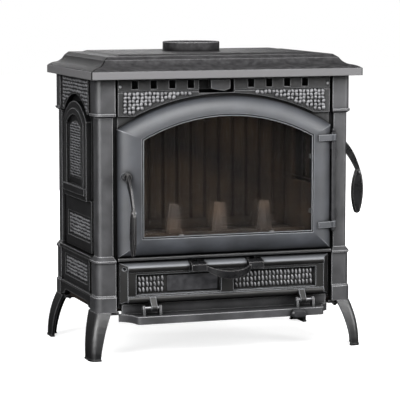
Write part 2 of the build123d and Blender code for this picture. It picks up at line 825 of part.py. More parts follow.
# Clips and screws that hold the glass
clip_edge = ridge_half + 15.0
clip_heights = (ridge_bottom + 59, ridge_bottom + 209)
clip_spots = [
    Location((side * clip_edge, z, 0), (0, 0, 90 + 90 * side)) for side in (-1, 1) for z in clip_heights
]
clip_spots += [Location((x, ridge_bottom - 15, 0), (0, 0, 90)) for x in (-130, 130)]
clip_thickness = 2.5
with BuildPart() as glass_clips:
    with BuildSketch(facing_front(-clip_ledge + seat_gap)) as clip_plates:
        with Locations(*clip_spots):
            with Locations((11.5, 0)):
                Rectangle(23, 12)
    extrude(amount=-clip_thickness)
    with BuildSketch(facing_front(-clip_ledge + seat_gap)) as clip_pads:
        with Locations(*clip_spots):
            with Locations((19, 0)):
                Rectangle(8, 12)
    extrude(amount=3.4)
    with BuildSketch(facing_front(-clip_ledge + seat_gap)) as clip_holes:
        with Locations(*clip_spots):
            with Locations((6, 0)):
                Circle(2.3)
    extrude(amount=-clip_thickness, mode=Mode.SUBTRACT)

with BuildPart() as clip_screws:
    with BuildSketch(facing_front(-clip_ledge + seat_gap + clip_thickness)) as clip_heads:
        with Locations(*clip_spots):
            with Locations((6, 0)):
                Circle(4)
    extrude(amount=-2.2)
    with BuildSketch(facing_front(-clip_ledge + seat_gap + clip_thickness)) as clip_shanks:
        with Locations(*clip_spots):
            with Locations((6, 0)):
                Circle(2)
    extrude(amount=clip_thickness + 0.2)

# Hinge column on the right-hand front post, with its feet, pins and screws
foot_spots = (hinge_low + 30, hinge_high - 42)
foot_thickness = 3.6
with BuildPart() as hinge_column:
    with BuildSketch(Plane.XY.offset(hinge_low + hinge_arm + 1)) as column_bar:
        with Locations((hinge_x, hinge_y)):
            Circle(column_radius)
    extrude(amount=hinge_high - hinge_low - hinge_arm - 2)
    with BuildSketch(Plane.XY.offset(hinge_high - 24)) as column_ring:
        with Locations((hinge_x, hinge_y)):
            Circle(column_radius + 2)
    extrude(amount=17)
    post_face_y = -half_depth + post_inset - seat_gap
    for z in foot_spots:
        bracket = plan_face(z, hinge_x - 4, hinge_x + 4, hinge_y, post_face_y)
        extrude(bracket, amount=10)
        with BuildSketch(facing_front(post_face_y)) as foot:
            with Locations((hinge_x + 6, z + 5)):
                RectangleRounded(18, 20, 3)
        extrude(amount=foot_thickness)
        with Locations(facing_front(post_face_y - foot_thickness)):
            with Locations((hinge_x + 10, z + 5)):
                Hole(2.1, depth=foot_thickness)
    with Locations(Plane.XY.offset(hinge_high - 1)):
        with Locations((hinge_x, hinge_y)):
            Hole(hinge_pin_radius + shaft_gap, depth=30)
    with Locations(Plane.XY.offset(hinge_low + hinge_arm + 26)):
        with Locations((hinge_x, hinge_y)):
            Hole(hinge_pin_radius + shaft_gap, depth=25)

with BuildPart() as hinge_screws:
    with BuildSketch(facing_front(post_face_y - foot_thickness)) as hinge_heads:
        with Locations(*[(hinge_x + 10, z + 5) for z in foot_spots]):
            Circle(3.2)
    extrude(amount=1.6)
    chamfer(hinge_screws.faces().filter_by(Axis.Y).group_by(Axis.Y)[0].edges(), 0.8)
    with BuildSketch(facing_front(post_face_y - foot_thickness)) as hinge_shanks:
        with Locations(*[(hinge_x + 10, z + 5) for z in foot_spots]):
            Circle(2.0)
    extrude(amount=-foot_thickness)

with BuildPart() as hinge_pins:
    pin_top = hinge_high + hinge_arm
    with BuildSketch(Plane.XZ.offset(-hinge_y)) as upper_pin:
        with BuildLine():
            Polyline(
                (hinge_x, hinge_high - 26), (hinge_x + hinge_pin_radius, hinge_high - 26),
                (hinge_x + hinge_pin_radius, pin_top + 1), (hinge_x + 6.5, pin_top + 1),
                (hinge_x + 6.5, pin_top + 3.5), (hinge_x + 3, pin_top + 5), (hinge_x + 4.5, pin_top + 11),
                (hinge_x + 2, pin_top + 16), (hinge_x, pin_top + 16), (hinge_x, hinge_high - 26),
            )
        make_face()
    revolve(axis=Axis((hinge_x, hinge_y, 0), (0, 0, 1)))
    with BuildSketch(Plane.XZ.offset(-hinge_y)) as lower_pin:
        with BuildLine():
            Polyline(
                (hinge_x, hinge_low - 11), (hinge_x + 4, hinge_low - 11), (hinge_x + 6, hinge_low - 8),
                (hinge_x + 6, hinge_low - 1), (hinge_x + hinge_pin_radius, hinge_low - 1),
                (hinge_x + hinge_pin_radius, hinge_low + hinge_arm + 24),
                (hinge_x, hinge_low + hinge_arm + 24), (hinge_x, hinge_low - 11),
            )
        make_face()
    revolve(axis=Axis((hinge_x, hinge_y, 0), (0, 0, 1)))


# Door handles: each is a spindle, a bowed arm on its hub, a leaf grip, two pins and a cam
front_handle_plane = Plane(
    origin=(handle_x, -handle_seat - seat_gap, handle_z), x_dir=(0, -1, 0), z_dir=(-1, 0, 0),
)
side_handle_plane = Plane(
    origin=(side_seat + seat_gap, side_handle_y, side_handle_z), x_dir=(1, 0, 0), z_dir=(0, -1, 0),
)
hub_length = 12.0
pin_out = 5.0
grip_high = grip_length - handle_drop
rivet_spot = (handle_reach - 12, grip_high - 9)
spindle_seat = 9.0


def out_plane(plane, distance=0.0):
    origin = plane.from_local_coords((distance, 0, 0))
    return Plane(origin=origin, x_dir=plane.z_dir, z_dir=plane.x_dir)


# The arm's outer curve runs on into the grip, where it ends in a tongue
def make_arm(plane):
    root = 4.0
    with BuildPart() as arm:
        with BuildSketch(plane):
            with BuildLine():
                Spline((root, 13), (0.39 * handle_reach, -9), (0.77 * handle_reach, -59),
                       (handle_reach - 5, grip_high - 16))
                Line((handle_reach - 5, grip_high - 16), (handle_reach - 17, grip_high - 16))
                Spline((handle_reach - 17, grip_high - 16), (0.53 * handle_reach, -58), (root, -12))
                Line((root, -12), (root, 13))
            make_face()
        extrude(amount=arm_thickness / 2, both=True)
        with BuildSketch(out_plane(plane)):
            Circle(hub_radius)
        extrude(amount=hub_length)
        with BuildSketch(out_plane(plane)):
            Circle(spindle_radius + shaft_gap)
        extrude(amount=spindle_seat + 0.5, mode=Mode.SUBTRACT)
        with BuildSketch(plane):
            with Locations((pin_out, 0), rivet_spot):
                Circle(rivet_radius + shaft_gap)
        extrude(amount=2 * hub_radius, both=True, mode=Mode.SUBTRACT)
    return arm.part


def grip_face(plane, distance, trim):
    left = handle_reach - grip_width + trim
    right = handle_reach - trim
    low = trim - handle_drop
    high = grip_high - trim
    middle = -0.64 * handle_drop
    with BuildSketch(plane.offset(distance)) as face:
        with BuildLine():
            ThreePointArc((right - 8, high - 4), (right, middle), (right - 9, low + 6))
            ThreePointArc((right - 9, low + 6), ((left + right) / 2, low), (left + 8, low + 6))
            ThreePointArc((left + 8, low + 6), (left, middle), (left + 9, high - 8))
            ThreePointArc((left + 9, high - 8), ((left + right) / 2 + 1, high), (right - 8, high - 4))
        make_face()
    return face.sketch


# A leaf with bevelled edges, slotted from the outside for the arm's tongue
def make_grip(plane):
    half = grip_thickness / 2
    with BuildPart() as grip:
        layers = ((-half, 3.5), (-0.45 * half, 0), (0.45 * half, 0), (half, 3.5))
        loft([grip_face(plane, distance, trim) for distance, trim in layers], ruled=True)
        with BuildSketch(plane) as tongue_slot:
            with Locations((handle_reach - 28, grip_high - 17)):
                Rectangle(40, 60, align=(Align.MIN, Align.MIN))
        extrude(amount=arm_thickness / 2 + 0.2, both=True, mode=Mode.SUBTRACT)
        with BuildSketch(plane):
            with Locations(rivet_spot):
                Circle(rivet_radius + shaft_gap)
        extrude(amount=grip_thickness, both=True, mode=Mode.SUBTRACT)
    return grip.part


def make_handle_pins(plane):
    with BuildPart() as pins:
        with BuildSketch(plane):
            with Locations((pin_out, 0)):
                Circle(rivet_radius)
        extrude(amount=hub_radius, both=True)
        with BuildSketch(plane):
            with Locations(rivet_spot):
                Circle(rivet_radius)
        extrude(amount=grip_thickness / 2 + 0.8, both=True)
    return pins.part


def make_spindle(plane, depth):
    with BuildPart() as spindle:
        with BuildSketch(out_plane(plane, -depth)):
            Circle(spindle_radius)
        extrude(amount=depth + spindle_seat)
        chamfer(spindle.edges().sort_by(Axis(plane.origin, plane.x_dir))[-1], 1.5)
        with BuildSketch(out_plane(plane, -depth)):
            Rectangle(6, 6)
        extrude(amount=-latch_thickness - 0.6)
        with BuildSketch(out_plane(plane, -depth - latch_thickness - 0.6)):
            Circle(6.5)
        extrude(amount=-2.5, taper=20)
        with BuildSketch(plane):
            with Locations((pin_out, 0)):
                Circle(rivet_radius + shaft_gap)
        extrude(amount=hub_radius, both=True, mode=Mode.SUBTRACT)
    return spindle.part


def make_cam(plane, depth):
    along = out_plane(plane, -depth - 0.3)
    with BuildPart() as cam:
        with BuildSketch(Plane(origin=along.origin, x_dir=(0, 0, 1), z_dir=along.z_dir)):
            with Locations((latch_length / 2, 0)):
                Rectangle(latch_length, latch_width)
            Circle(latch_width / 2)
            Rectangle(6.2, 6.2, mode=Mode.SUBTRACT)
        extrude(amount=-latch_thickness)
    return cam.part


front_cam_depth = handle_seat + seat_gap - front_face + front_thickness + moving_gap - 0.3
side_cam_depth = side_seat + seat_gap - side_cam_x - 0.3

# Ash door on its bottom hinge, with fields, mouldings and notches for the handle
ash_front = door_back + 22.0
ash_rope_depth = 5.0
notch_half = ash_bracket_width / 2 + 2
ash_field_half = (ash_half - ash_field_inset - ash_middle) / 2
ash_field_x = ash_middle + ash_field_half


def ash_rope_face(y, beside, below, above):
    low = ash_opening_low - below
    return panel_face(facing_front(y), ash_opening_half + beside, low, ash_opening_high + above)


with BuildPart() as ash_door:
    extrude(panel_face(facing_front(-door_back), ash_half, ash_bottom, ash_top), amount=6)
    loft(
        [
            panel_face(facing_front(-door_back - 6), ash_half, ash_bottom, ash_top),
            panel_face(facing_front(-ash_front), ash_half - 18, ash_bottom + 8, ash_top - 7),
        ],
        ruled=True,
    )
    for low, high in ((ash_top - 25, ash_top - 7), (ash_bottom + 4, ash_bottom + 20)):
        with BuildSketch(lying_along_x(-ash_half + 18)) as moulding:
            with BuildLine():
                Line((-ash_front + 4, low), (-ash_front - 1, low))
                ThreePointArc(
                    (-ash_front - 1, low), (-ash_front - 5, (low + high) / 2), (-ash_front - 1, high),
                )
                Polyline((-ash_front - 1, high), (-ash_front + 4, high), (-ash_front + 4, low))
            make_face()
        extrude(amount=2 * ash_half - 36)
    for side in (-1, 1):
        field = panel_face(
            facing_front(-ash_front), ash_field_half, ash_bottom + 25, ash_top - 32, side * ash_field_x,
        )
        extrude(field, amount=-9, mode=Mode.SUBTRACT)
    for x in finger_places:
        notch = panel_face(facing_front(-door_back - 2), notch_half, ash_shaft_z - 12.5, ash_top, x)
        extrude(notch, amount=30, mode=Mode.SUBTRACT)
        hole_low = ash_shaft_z - 11.5
        finger_hole = panel_face(facing_front(-door_back), finger_width / 2 + 2, hole_low, ash_top, x)
        extrude(finger_hole, amount=3, mode=Mode.SUBTRACT)
    with BuildSketch(lying_along_x(-ash_half)) as shaft_hole:
        with Locations((ash_shaft_y, ash_shaft_z)):
            Circle(ash_shaft_radius + shaft_gap)
    extrude(amount=ash_half + ash_grip_x + ash_bracket_x + 40, mode=Mode.SUBTRACT)
    extrude(ash_rope_face(-door_back, 14, 12.5, 10), amount=ash_rope_depth, mode=Mode.SUBTRACT)
    extrude(ash_rope_face(-door_back, 6, 4.5, 2), amount=ash_rope_depth)
    for side in (-1, 1):
        with BuildSketch(lying_along_x(side * ash_strap_x - ash_strap_width / 2)) as strap:
            with BuildLine():
                Polyline(
                    (ash_pin_y, ash_pin_z - 8), (ash_pin_y + 8, ash_pin_z - 1),
                    (-door_back - 6, ash_bottom + 2),
                    (-door_back - 6, ash_bottom + 16), (-ash_front - 6, ash_bottom + 18),
                    (ash_pin_y - 7, ash_pin_z + 4), (ash_pin_y, ash_pin_z - 8),
                )
            make_face()
            with Locations((ash_pin_y, ash_pin_z)):
                Circle(8)
                Circle(ash_pin_radius + shaft_gap, mode=Mode.SUBTRACT)
        extrude(amount=ash_strap_width)

with BuildPart() as ash_gasket:
    extrude(ash_rope_face(-front_face - 0.1, 13.9, 12.4, 9.9), amount=ash_rope_depth)
    extrude(ash_rope_face(-front_face, 6.1, 4.6, 2.1), amount=ash_rope_depth + 1, mode=Mode.SUBTRACT)

with BuildPart() as ash_hinge_pins:
    for side in (-1, 1):
        with BuildSketch(lying_along_x(side * 220 - 27)) as ash_pin:
            with Locations((ash_pin_y, ash_pin_z)):
                Circle(ash_pin_radius)
        extrude(amount=54)

# Ash door handle: a bowed pull between two brackets that turn on a shaft and carry the fingers
with BuildPart() as ash_shaft:
    with BuildSketch(lying_along_x(ash_grip_x - ash_bracket_x - 30)) as shaft_bar:
        with Locations((ash_shaft_y, ash_shaft_z)):
            Circle(ash_shaft_radius)
    extrude(amount=2 * ash_bracket_x + 60)

bow_end = ash_bracket_x - ash_bracket_width / 2 + 4
bow_low = ash_shaft_z - 33
with BuildPart() as ash_bow:
    with BuildSketch(Plane.XY.offset(bow_low)) as bow_plan:
        with Locations((ash_grip_x, 0)):
            with BuildLine():
                ThreePointArc(
                    (-bow_end, ash_shaft_y - 24), (0, ash_shaft_y - 52), (bow_end, ash_shaft_y - 24),
                )
                Line((bow_end, ash_shaft_y - 24), (bow_end, ash_shaft_y - 16))
                ThreePointArc(
                    (bow_end, ash_shaft_y - 16), (0, ash_shaft_y - 42), (-bow_end, ash_shaft_y - 16),
                )
                Line((-bow_end, ash_shaft_y - 16), (-bow_end, ash_shaft_y - 24))
            make_face()
    extrude(amount=40)
    with BuildSketch(facing_front(ash_shaft_y + 10)) as bow_front:
        with Locations((ash_grip_x, 0)):
            with BuildLine():
                ThreePointArc(
                    (-bow_end, bow_low + 23), (0, bow_low), (bow_end, bow_low + 23),
                )
                Line((bow_end, bow_low + 23), (bow_end, bow_low + 35))
                ThreePointArc(
                    (bow_end, bow_low + 35), (0, bow_low + 22), (-bow_end, bow_low + 35),
                )
                Line((-bow_end, bow_low + 35), (-bow_end, bow_low + 23))
            make_face()
    extrude(amount=80, mode=Mode.INTERSECT)

with BuildPart() as ash_handle:
    for x in finger_places:
        with BuildSketch(lying_along_x(x - ash_bracket_width / 2)) as bracket_side:
            with BuildLine():
                Line((ash_shaft_y + 9, ash_shaft_z - 5), (ash_shaft_y + 9, ash_shaft_z + 7))
                ThreePointArc(
                    (ash_shaft_y + 9, ash_shaft_z + 7), (ash_shaft_y - 4, ash_shaft_z + 13),
                    (ash_shaft_y - 26, ash_shaft_z + 6),
                )
                Polyline(
                    (ash_shaft_y - 26, ash_shaft_z + 6), (ash_shaft_y - 28, ash_shaft_z - 11),
                    (ash_shaft_y - 18, ash_shaft_z - 9.5), (ash_shaft_y + 9, ash_shaft_z - 5),
                )
            make_face()
        extrude(amount=ash_bracket_width)
        with BuildSketch(lying_along_x(x - finger_width / 2)) as finger:
            with BuildLine():
                Polyline(
                    (ash_shaft_y, ash_shaft_z - 3), (ash_shaft_y + finger_reach, ash_shaft_z - 3),
                    (ash_shaft_y + finger_reach, ash_shaft_z + 4),
                    (ash_shaft_y + finger_reach - 2.5, ash_shaft_z + 7),
                    (ash_shaft_y + finger_reach - 4.5, ash_shaft_z + 7),
                    (ash_shaft_y + finger_reach - 4.5, ash_shaft_z + 3),
                    (ash_shaft_y, ash_shaft_z + 3), (ash_shaft_y, ash_shaft_z - 3),
                )
            make_face()
        extrude(amount=finger_width)
    add(ash_bow.part)
    with BuildSketch(lying_along_x(ash_grip_x - ash_bracket_x - 30)) as handle_bore:
        with Locations((ash_shaft_y, ash_shaft_z)):
            Circle(ash_shaft_radius + 0.02)
    extrude(amount=2 * ash_bracket_x + 60, mode=Mode.SUBTRACT)

# Ash shelf with its hollow underside, back upstand and hinge lugs
with BuildPart() as ash_shelf:
    shelf_y = -half_depth - shelf_front
    shelf_waist = -half_depth + 8.5
    shelf_nose = shelf_front_half - 11
    with BuildSketch(Plane.XY.offset(shelf_top)) as shelf_plan:
        with BuildLine():
            Line((-shelf_nose, shelf_y), (shelf_nose, shelf_y))
            for side in (-1, 1):
                ThreePointArc(
                    (side * shelf_nose, shelf_y), (side * (shelf_nose + 7.5), shelf_y + 3.5),
                    (side * shelf_front_half, shelf_y + 12),
                )
                Spline(
                    (side * shelf_front_half, shelf_y + 12), (side * (shelf_half - 17), shelf_waist - 14),
                    (side * shelf_half, shelf_waist),
                )
                Line((side * shelf_half, shelf_waist), (side * shelf_half, -rear_face - seat_gap))
            Line((-shelf_half, -rear_face - seat_gap), (shelf_half, -rear_face - seat_gap))
        make_face()
    extrude(amount=-shelf_lip)
    with BuildSketch(lying_along_x(-shelf_nose - 1)) as underside:
        with BuildLine():
            Polyline(
                (shelf_y + shelf_wall, shelf_top - shelf_lip),
                (shelf_y + shelf_wall + 4, shelf_top - shelf_wall),
                (shelf_waist, shelf_top - shelf_wall), (shelf_waist, shelf_top - shelf_lip),
                (shelf_y + shelf_wall, shelf_top - shelf_lip),
            )
        make_face()
    extrude(amount=2 * shelf_nose + 2, mode=Mode.SUBTRACT)
    upstand = panel_face(facing_front(-door_back), shelf_half - 6, shelf_top - 2, ash_bottom - 2)
    extrude(upstand, amount=6)
    for side in (-1, 1):
        for x in (side * 220 - 20 - 6, side * 220 + 20):
            with BuildSketch(lying_along_x(x)) as lug:
                with BuildLine():
                    Polyline(
                        (ash_pin_y - 7, ash_pin_z), (ash_pin_y - 9, shelf_top - 2),
                        (ash_pin_y + 12, shelf_top - 2),
                        (ash_pin_y + 7, ash_pin_z), (ash_pin_y - 7, ash_pin_z),
                    )
                make_face()
                with Locations((ash_pin_y, ash_pin_z)):
                    Circle(7)
                    Circle(ash_pin_radius + shaft_gap, mode=Mode.SUBTRACT)
            extrude(amount=6)
    with BuildSketch(facing_front(shelf_y)) as rod_guide:
        with Locations((knob_x, shelf_top - shelf_lip / 2 - 2.5)):
            Circle(3 + shaft_gap)
    extrude(amount=-shelf_front - 20, mode=Mode.SUBTRACT)

# Primary air: knob, rod and the damper it moves under the base plate
rod_z = shelf_top - shelf_lip / 2 - 2.5
with BuildPart() as air_knob:
    with BuildSketch(facing_front(shelf_y - 1)) as knob_neck:
        with Locations((knob_x, rod_z)):
            Circle(7)
    extrude(amount=4)
    with BuildSketch(facing_front(shelf_y - 5)) as knob_body:
        with Locations((knob_x, rod_z)):
            SlotOverall(42, 23)
    extrude(amount=12)
    chamfer(air_knob.faces().filter_by(Axis.Y).group_by(Axis.Y)[0].edges(), 4)
    with BuildSketch(facing_front(shelf_y - 1)) as knob_socket:
        with Locations((knob_x, rod_z)):
            Circle(3.1)
    extrude(amount=10, mode=Mode.SUBTRACT)

with BuildPart() as air_rod:
    with BuildSketch(facing_front(shelf_y - 10.5)) as rod_bar:
        with Locations((knob_x, rod_z)):
            Circle(3)
    extrude(amount=-(inlet_y - 40 - shelf_y + 10.5))

with BuildPart() as air_damper:
    with BuildSketch(Plane.XY.offset(damper_top)) as damper_plan:
        with Locations((knob_x, inlet_y - 2)):
            Rectangle(2 * damper_half, 62)
    extrude(amount=-damper_thickness)
    with BuildSketch(facing_front(inlet_y - 33)) as damper_tab:
        with Locations((knob_x, (rod_z - 8 + damper_top) / 2)):
            Rectangle(16, damper_top - rod_z + 8)
    extrude(amount=6)
    with BuildSketch(facing_front(inlet_y - 20)) as damper_hole:
        with Locations((knob_x, rod_z)):
            Circle(3.06)
    extrude(amount=30, mode=Mode.SUBTRACT)

# Ash pan on the runners
with BuildPart() as ash_pan:
    with BuildSketch(Plane.XY.offset(pan_floor + seat_gap)) as pan_plan:
        with Locations((0, pan_front + pan_length / 2)):
            Rectangle(2 * pan_half, pan_length)
    extrude(amount=pan_height)
    with BuildSketch(Plane.XY.offset(pan_floor + seat_gap + 2)) as pan_inside:
        with Locations((0, pan_front + pan_length / 2)):
            Rectangle(2 * pan_half - 4, pan_length - 4)
    extrude(amount=pan_height, mode=Mode.SUBTRACT)
    with BuildSketch(facing_front(pan_front)) as pan_pull:
        with Locations((0, pan_floor + 24)):
            RectangleRounded(120, 16, 5)
    extrude(amount=8)
    with BuildSketch(facing_front(pan_front + 5)) as pan_pull_gap:
        with Locations((0, pan_floor + 24)):
            RectangleRounded(100, 8, 3)
    extrude(amount=20, mode=Mode.SUBTRACT)

# Firebox: hearth plate, grate, linings, baffle and log retainer
hearth_top = hearth_level + hearth_thickness
hearth_half = side_face - plate - 0.5
with BuildPart() as hearth_plate:
    hearth_plan = plan_face(
        hearth_level, -hearth_half, hearth_half, -front_face + front_thickness + seat_gap, side_reach,
    )
    extrude(hearth_plan, amount=hearth_thickness)
    with Locations(Plane.XY.offset(hearth_top)):
        with GridLocations(2 * rod_x, 2 * rod_y, 2, 2):
            Hole(rod_radius + 0.5)
    with BuildSketch(Plane.XY.offset(hearth_level)) as grate_opening:
        Rectangle(grate_length - 14, grate_depth - 14)
    extrude(amount=hearth_thickness, mode=Mode.SUBTRACT)
    with BuildSketch(Plane.XY.offset(hearth_top)) as grate_rebate:
        Rectangle(grate_length, grate_depth)
    extrude(amount=-5, mode=Mode.SUBTRACT)

with BuildPart() as grate:
    with BuildSketch(Plane.XY.offset(hearth_top - 5 + seat_gap)) as grate_plan:
        RectangleRounded(grate_length - 2, grate_depth - 2, 3)
        with GridLocations(18, 80, 16, 2):
            Rectangle(8, 66, mode=Mode.SUBTRACT)
    extrude(amount=8)


def lining_plan(x):
    return plan_face(hearth_top + seat_gap, x, x + liner, firebox_front, firebox_back - seat_gap)


with BuildPart() as left_lining:
    extrude(lining_plan(-firebox_half - liner), amount=liner_top - hearth_top - seat_gap)

with BuildPart() as right_lining:
    extrude(lining_plan(firebox_half), amount=liner_top - hearth_top - seat_gap)
    extrude(
        arch_face(facing_side(1, firebox_half + liner), *grown(side_opening, 4)), amount=-liner,
        mode=Mode.SUBTRACT,
    )

with BuildPart() as back_lining:
    back_plan = plan_face(
        hearth_top + seat_gap, -firebox_half - liner, firebox_half + liner,
        firebox_back, firebox_back + liner,
    )
    extrude(back_plan, amount=liner_top - hearth_top - seat_gap)
    with BuildSketch(Plane.XY.offset(hearth_top + 30)) as flutes:
        with Locations((0, firebox_back)):
            with GridLocations(42, 1, 14, 1):
                Circle(6)
    extrude(amount=liner_top - hearth_top - 70, mode=Mode.SUBTRACT)

baffle_front = firebox_front + 82
with BuildPart() as baffle:
    baffle_plan = plan_face(
        liner_top + seat_gap, -firebox_half - liner + 1, firebox_half + liner - 1,
        baffle_front, firebox_back + liner - 1,
    )
    extrude(baffle_plan, amount=8)
    with BuildSketch(Plane.XY.offset(liner_top + 8)) as baffle_ribs:
        with Locations((0, (baffle_front + firebox_back + liner) / 2)):
            with GridLocations(150, 1, 4, 1):
                Rectangle(8, firebox_back + liner - baffle_front - 50)
    extrude(amount=10)

with BuildPart() as log_retainer:
    retainer_plane = facing_front(firebox_front + 27)
    foot_top = hearth_top + seat_gap
    bar_top = foot_top + 30
    bar_half = firebox_half - 60
    extrude(panel_face(retainer_plane, bar_half, foot_top, bar_top), amount=9)
    foot = plan_face(foot_top, -bar_half, bar_half, firebox_front + 18, firebox_front + 45)
    extrude(foot, amount=6)
    for x in (-tooth_pitch, 0, tooth_pitch):
        root = plan_face(bar_top - 1, x - 22.5, x + 22.5, firebox_front + 16, firebox_front + 29)
        tip = plan_face(bar_top + tooth_height, x - 13, x + 13, firebox_front + 18, firebox_front + 26)
        loft([root, tip], ruled=True)

# Rods that tie the top, base and legs together, with a nut under each leg flange
rod_low = leg_height - flange - 11
with BuildPart() as tie_rods:
    with BuildSketch(Plane.XY.offset(rod_low)) as rod_plan:
        with GridLocations(2 * rod_x, 2 * rod_y, 2, 2):
            Circle(rod_radius)
    extrude(amount=body_top + fascia + 9 - rod_low)

with BuildPart() as tie_nuts:
    with BuildSketch(Plane.XY.offset(leg_height - flange - seat_gap)) as nut_plan:
        with GridLocations(2 * rod_x, 2 * rod_y, 2, 2):
            RegularPolygon(8, 6)
            Circle(rod_radius + 0.1, mode=Mode.SUBTRACT)
    extrude(amount=-7)

pieces = {
    "top_plate": top_plate.part,
    "flue_collar": flue_collar.part,
    "collar_bolts": collar_bolts.part,
    "front_left_post": front_left_post.part,
    "front_right_post": front_right_post.part,
    "rear_left_post": rear_left_post.part,
    "rear_right_post": rear_right_post.part,
    "front_left_leg": front_left_leg.part,
    "front_right_leg": front_right_leg.part,
    "rear_left_leg": rear_left_leg.part,
    "rear_right_leg": rear_right_leg.part,
    "base_plate": base_plate.part,
    "left_side_panel": left_side_panel.part,
    "right_side_panel": right_side_panel.part,
    "back_panel": back_panel.part,
    "front_plate": front_plate.part,
    "frieze_screws": frieze_screws.part,
    "secondary_air_slider": secondary_air_slider.part,
    "side_door": side_door.part,
    "side_gasket": side_gasket.part,
    "side_hinge_pins": side_hinge_pins.part,
    "door_frame": door_frame.part,
    "door_glass": door_glass.part,
    "glass_tape": glass_tape.part,
    "glass_clips": glass_clips.part,
    "clip_screws": clip_screws.part,
    "door_gasket": door_gasket.part,
    "hinge_column": hinge_column.part,
    "hinge_screws": hinge_screws.part,
    "hinge_pins": hinge_pins.part,
    "handle_arm": make_arm(front_handle_plane),
    "handle_grip": make_grip(front_handle_plane),
    "handle_pins": make_handle_pins(front_handle_plane),
    "handle_spindle": make_spindle(front_handle_plane, front_cam_depth),
    "latch_cam": make_cam(front_handle_plane, front_cam_depth),
    "side_handle_arm": make_arm(side_handle_plane),
    "side_handle_grip": make_grip(side_handle_plane),
    "side_handle_pins": make_handle_pins(side_handle_plane),
    "side_handle_spindle": make_spindle(side_handle_plane, side_cam_depth),
    "side_latch_cam": make_cam(side_handle_plane, side_cam_depth),
    "ash_door": ash_door.part,
    "ash_gasket": ash_gasket.part,
    "ash_hinge_pins": ash_hinge_pins.part,
    "ash_handle": ash_handle.part,
    "ash_shaft": ash_shaft.part,
    "ash_shelf": ash_shelf.part,
    "air_knob": air_knob.part,
    "air_rod": air_rod.part,
    "air_damper": air_damper.part,
    "ash_pan": ash_pan.part,
    "hearth_plate": hearth_plate.part,
    "grate": grate.part,
    "left_lining": left_lining.part,
    "right_lining": right_lining.part,
    "back_lining": back_lining.part,
    "baffle": baffle.part,
    "log_retainer": log_retainer.part,
    "tie_rods": tie_rods.part,
    "tie_nuts": tie_nuts.part,
}
for name, piece in pieces.items():
    save(piece, name)
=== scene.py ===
import json
import math
import random

import bmesh
import bpy
from mathutils import Matrix, Vector


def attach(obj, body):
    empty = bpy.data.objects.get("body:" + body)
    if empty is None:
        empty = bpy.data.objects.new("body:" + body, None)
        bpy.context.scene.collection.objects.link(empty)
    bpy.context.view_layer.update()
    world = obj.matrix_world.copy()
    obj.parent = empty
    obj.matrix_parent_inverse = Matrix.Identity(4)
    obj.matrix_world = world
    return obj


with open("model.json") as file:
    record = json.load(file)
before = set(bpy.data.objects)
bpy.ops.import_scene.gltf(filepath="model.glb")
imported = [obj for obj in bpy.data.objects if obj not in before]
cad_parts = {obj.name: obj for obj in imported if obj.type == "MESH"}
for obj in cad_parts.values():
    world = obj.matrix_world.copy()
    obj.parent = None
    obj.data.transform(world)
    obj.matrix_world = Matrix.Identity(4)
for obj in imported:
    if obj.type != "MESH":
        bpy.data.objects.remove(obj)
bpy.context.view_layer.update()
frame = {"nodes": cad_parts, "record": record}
nodes = frame["nodes"]
print("stove castings loaded:", len(nodes))

# the photograph's view: place in metres, turns in degrees, lens and sensor in millimetres
viewing = {
    "place": (-1.8929, -5.4677, 1.0474),
    "turnedRight": 19.07,
    "tiltedDown": 6.434,
    "focal": 187.24,
    "sensor": 36.0,
    "nearest": 0.1,
    "farthest": 60,
}


def makeCamera(settings):
    lens = bpy.data.cameras.new("stoveCamera")
    lens.lens = settings["focal"]
    lens.sensor_width = settings["sensor"]
    lens.clip_start = settings["nearest"]
    lens.clip_end = settings["farthest"]
    camera = bpy.data.objects.new("stoveCamera", lens)
    bpy.context.scene.collection.objects.link(camera)
    camera.location = settings["place"]
    tilt = math.radians(90 - settings["tiltedDown"])
    camera.rotation_euler = (tilt, 0, -math.radians(settings["turnedRight"]))
    bpy.context.scene.camera = camera


makeCamera(viewing)
print("camera set")

# soft studio light: broad panels over the front and at both sides, a low one that glints
# on the mouldings, and weaker ones behind and overhead
lighting = {
    "panels": [
        {"name": "keyPanel", "size": 2.2, "power": 145,
         "place": (0.2, -3.1, 3.1), "aim": (0, -0.1, 0.75)},
        {"name": "leftPanel", "size": 1.8, "power": 150,
         "place": (-3.2, -2.4, 1.8), "aim": (-0.3, 0, 0.7)},
        {"name": "rightPanel", "size": 1.8, "power": 125,
         "place": (3.3, -3.0, 1.6), "aim": (0.3, 0, 0.65)},
        {"name": "lowPanel", "size": 0.9, "power": 50,
         "place": (-2.9, -4.4, 1.0), "aim": (-0.1, -0.2, 0.5)},
        {"name": "rearPanel", "size": 1.8, "power": 65,
         "place": (0.6, 3.8, 1.0), "aim": (0, 0.2, 0.45)},
        {"name": "topPanel", "size": 1.4, "power": 8,
         "place": (0.0, 1.2, 3.0), "aim": (0, 0, 0.5)},
    ],
    "roomGrey": 0.13,
    "roomWhite": 1.0,
}


def addPanelLamp(settings):
    lamp = bpy.data.lights.new(settings["name"], "AREA")
    lamp.shape = "SQUARE"
    lamp.size = settings["size"]
    lamp.energy = settings["power"]
    lampObject = bpy.data.objects.new(settings["name"], lamp)
    lampObject.location = settings["place"]
    direction = Vector(settings["aim"]) - Vector(settings["place"])
    lampObject.rotation_euler = direction.to_track_quat("-Z", "Y").to_euler()
    bpy.context.scene.collection.objects.link(lampObject)


for panel in lighting["panels"]:
    addPanelLamp(panel)


def emptyTree(holder):
    holder.use_nodes = True
    holder.node_tree.nodes.clear()
    return holder.node_tree


def newNode(tree, kind, **values):
    node = tree.nodes.new(kind)
    for key, value in values.items():
        setattr(node, key, value)
    return node


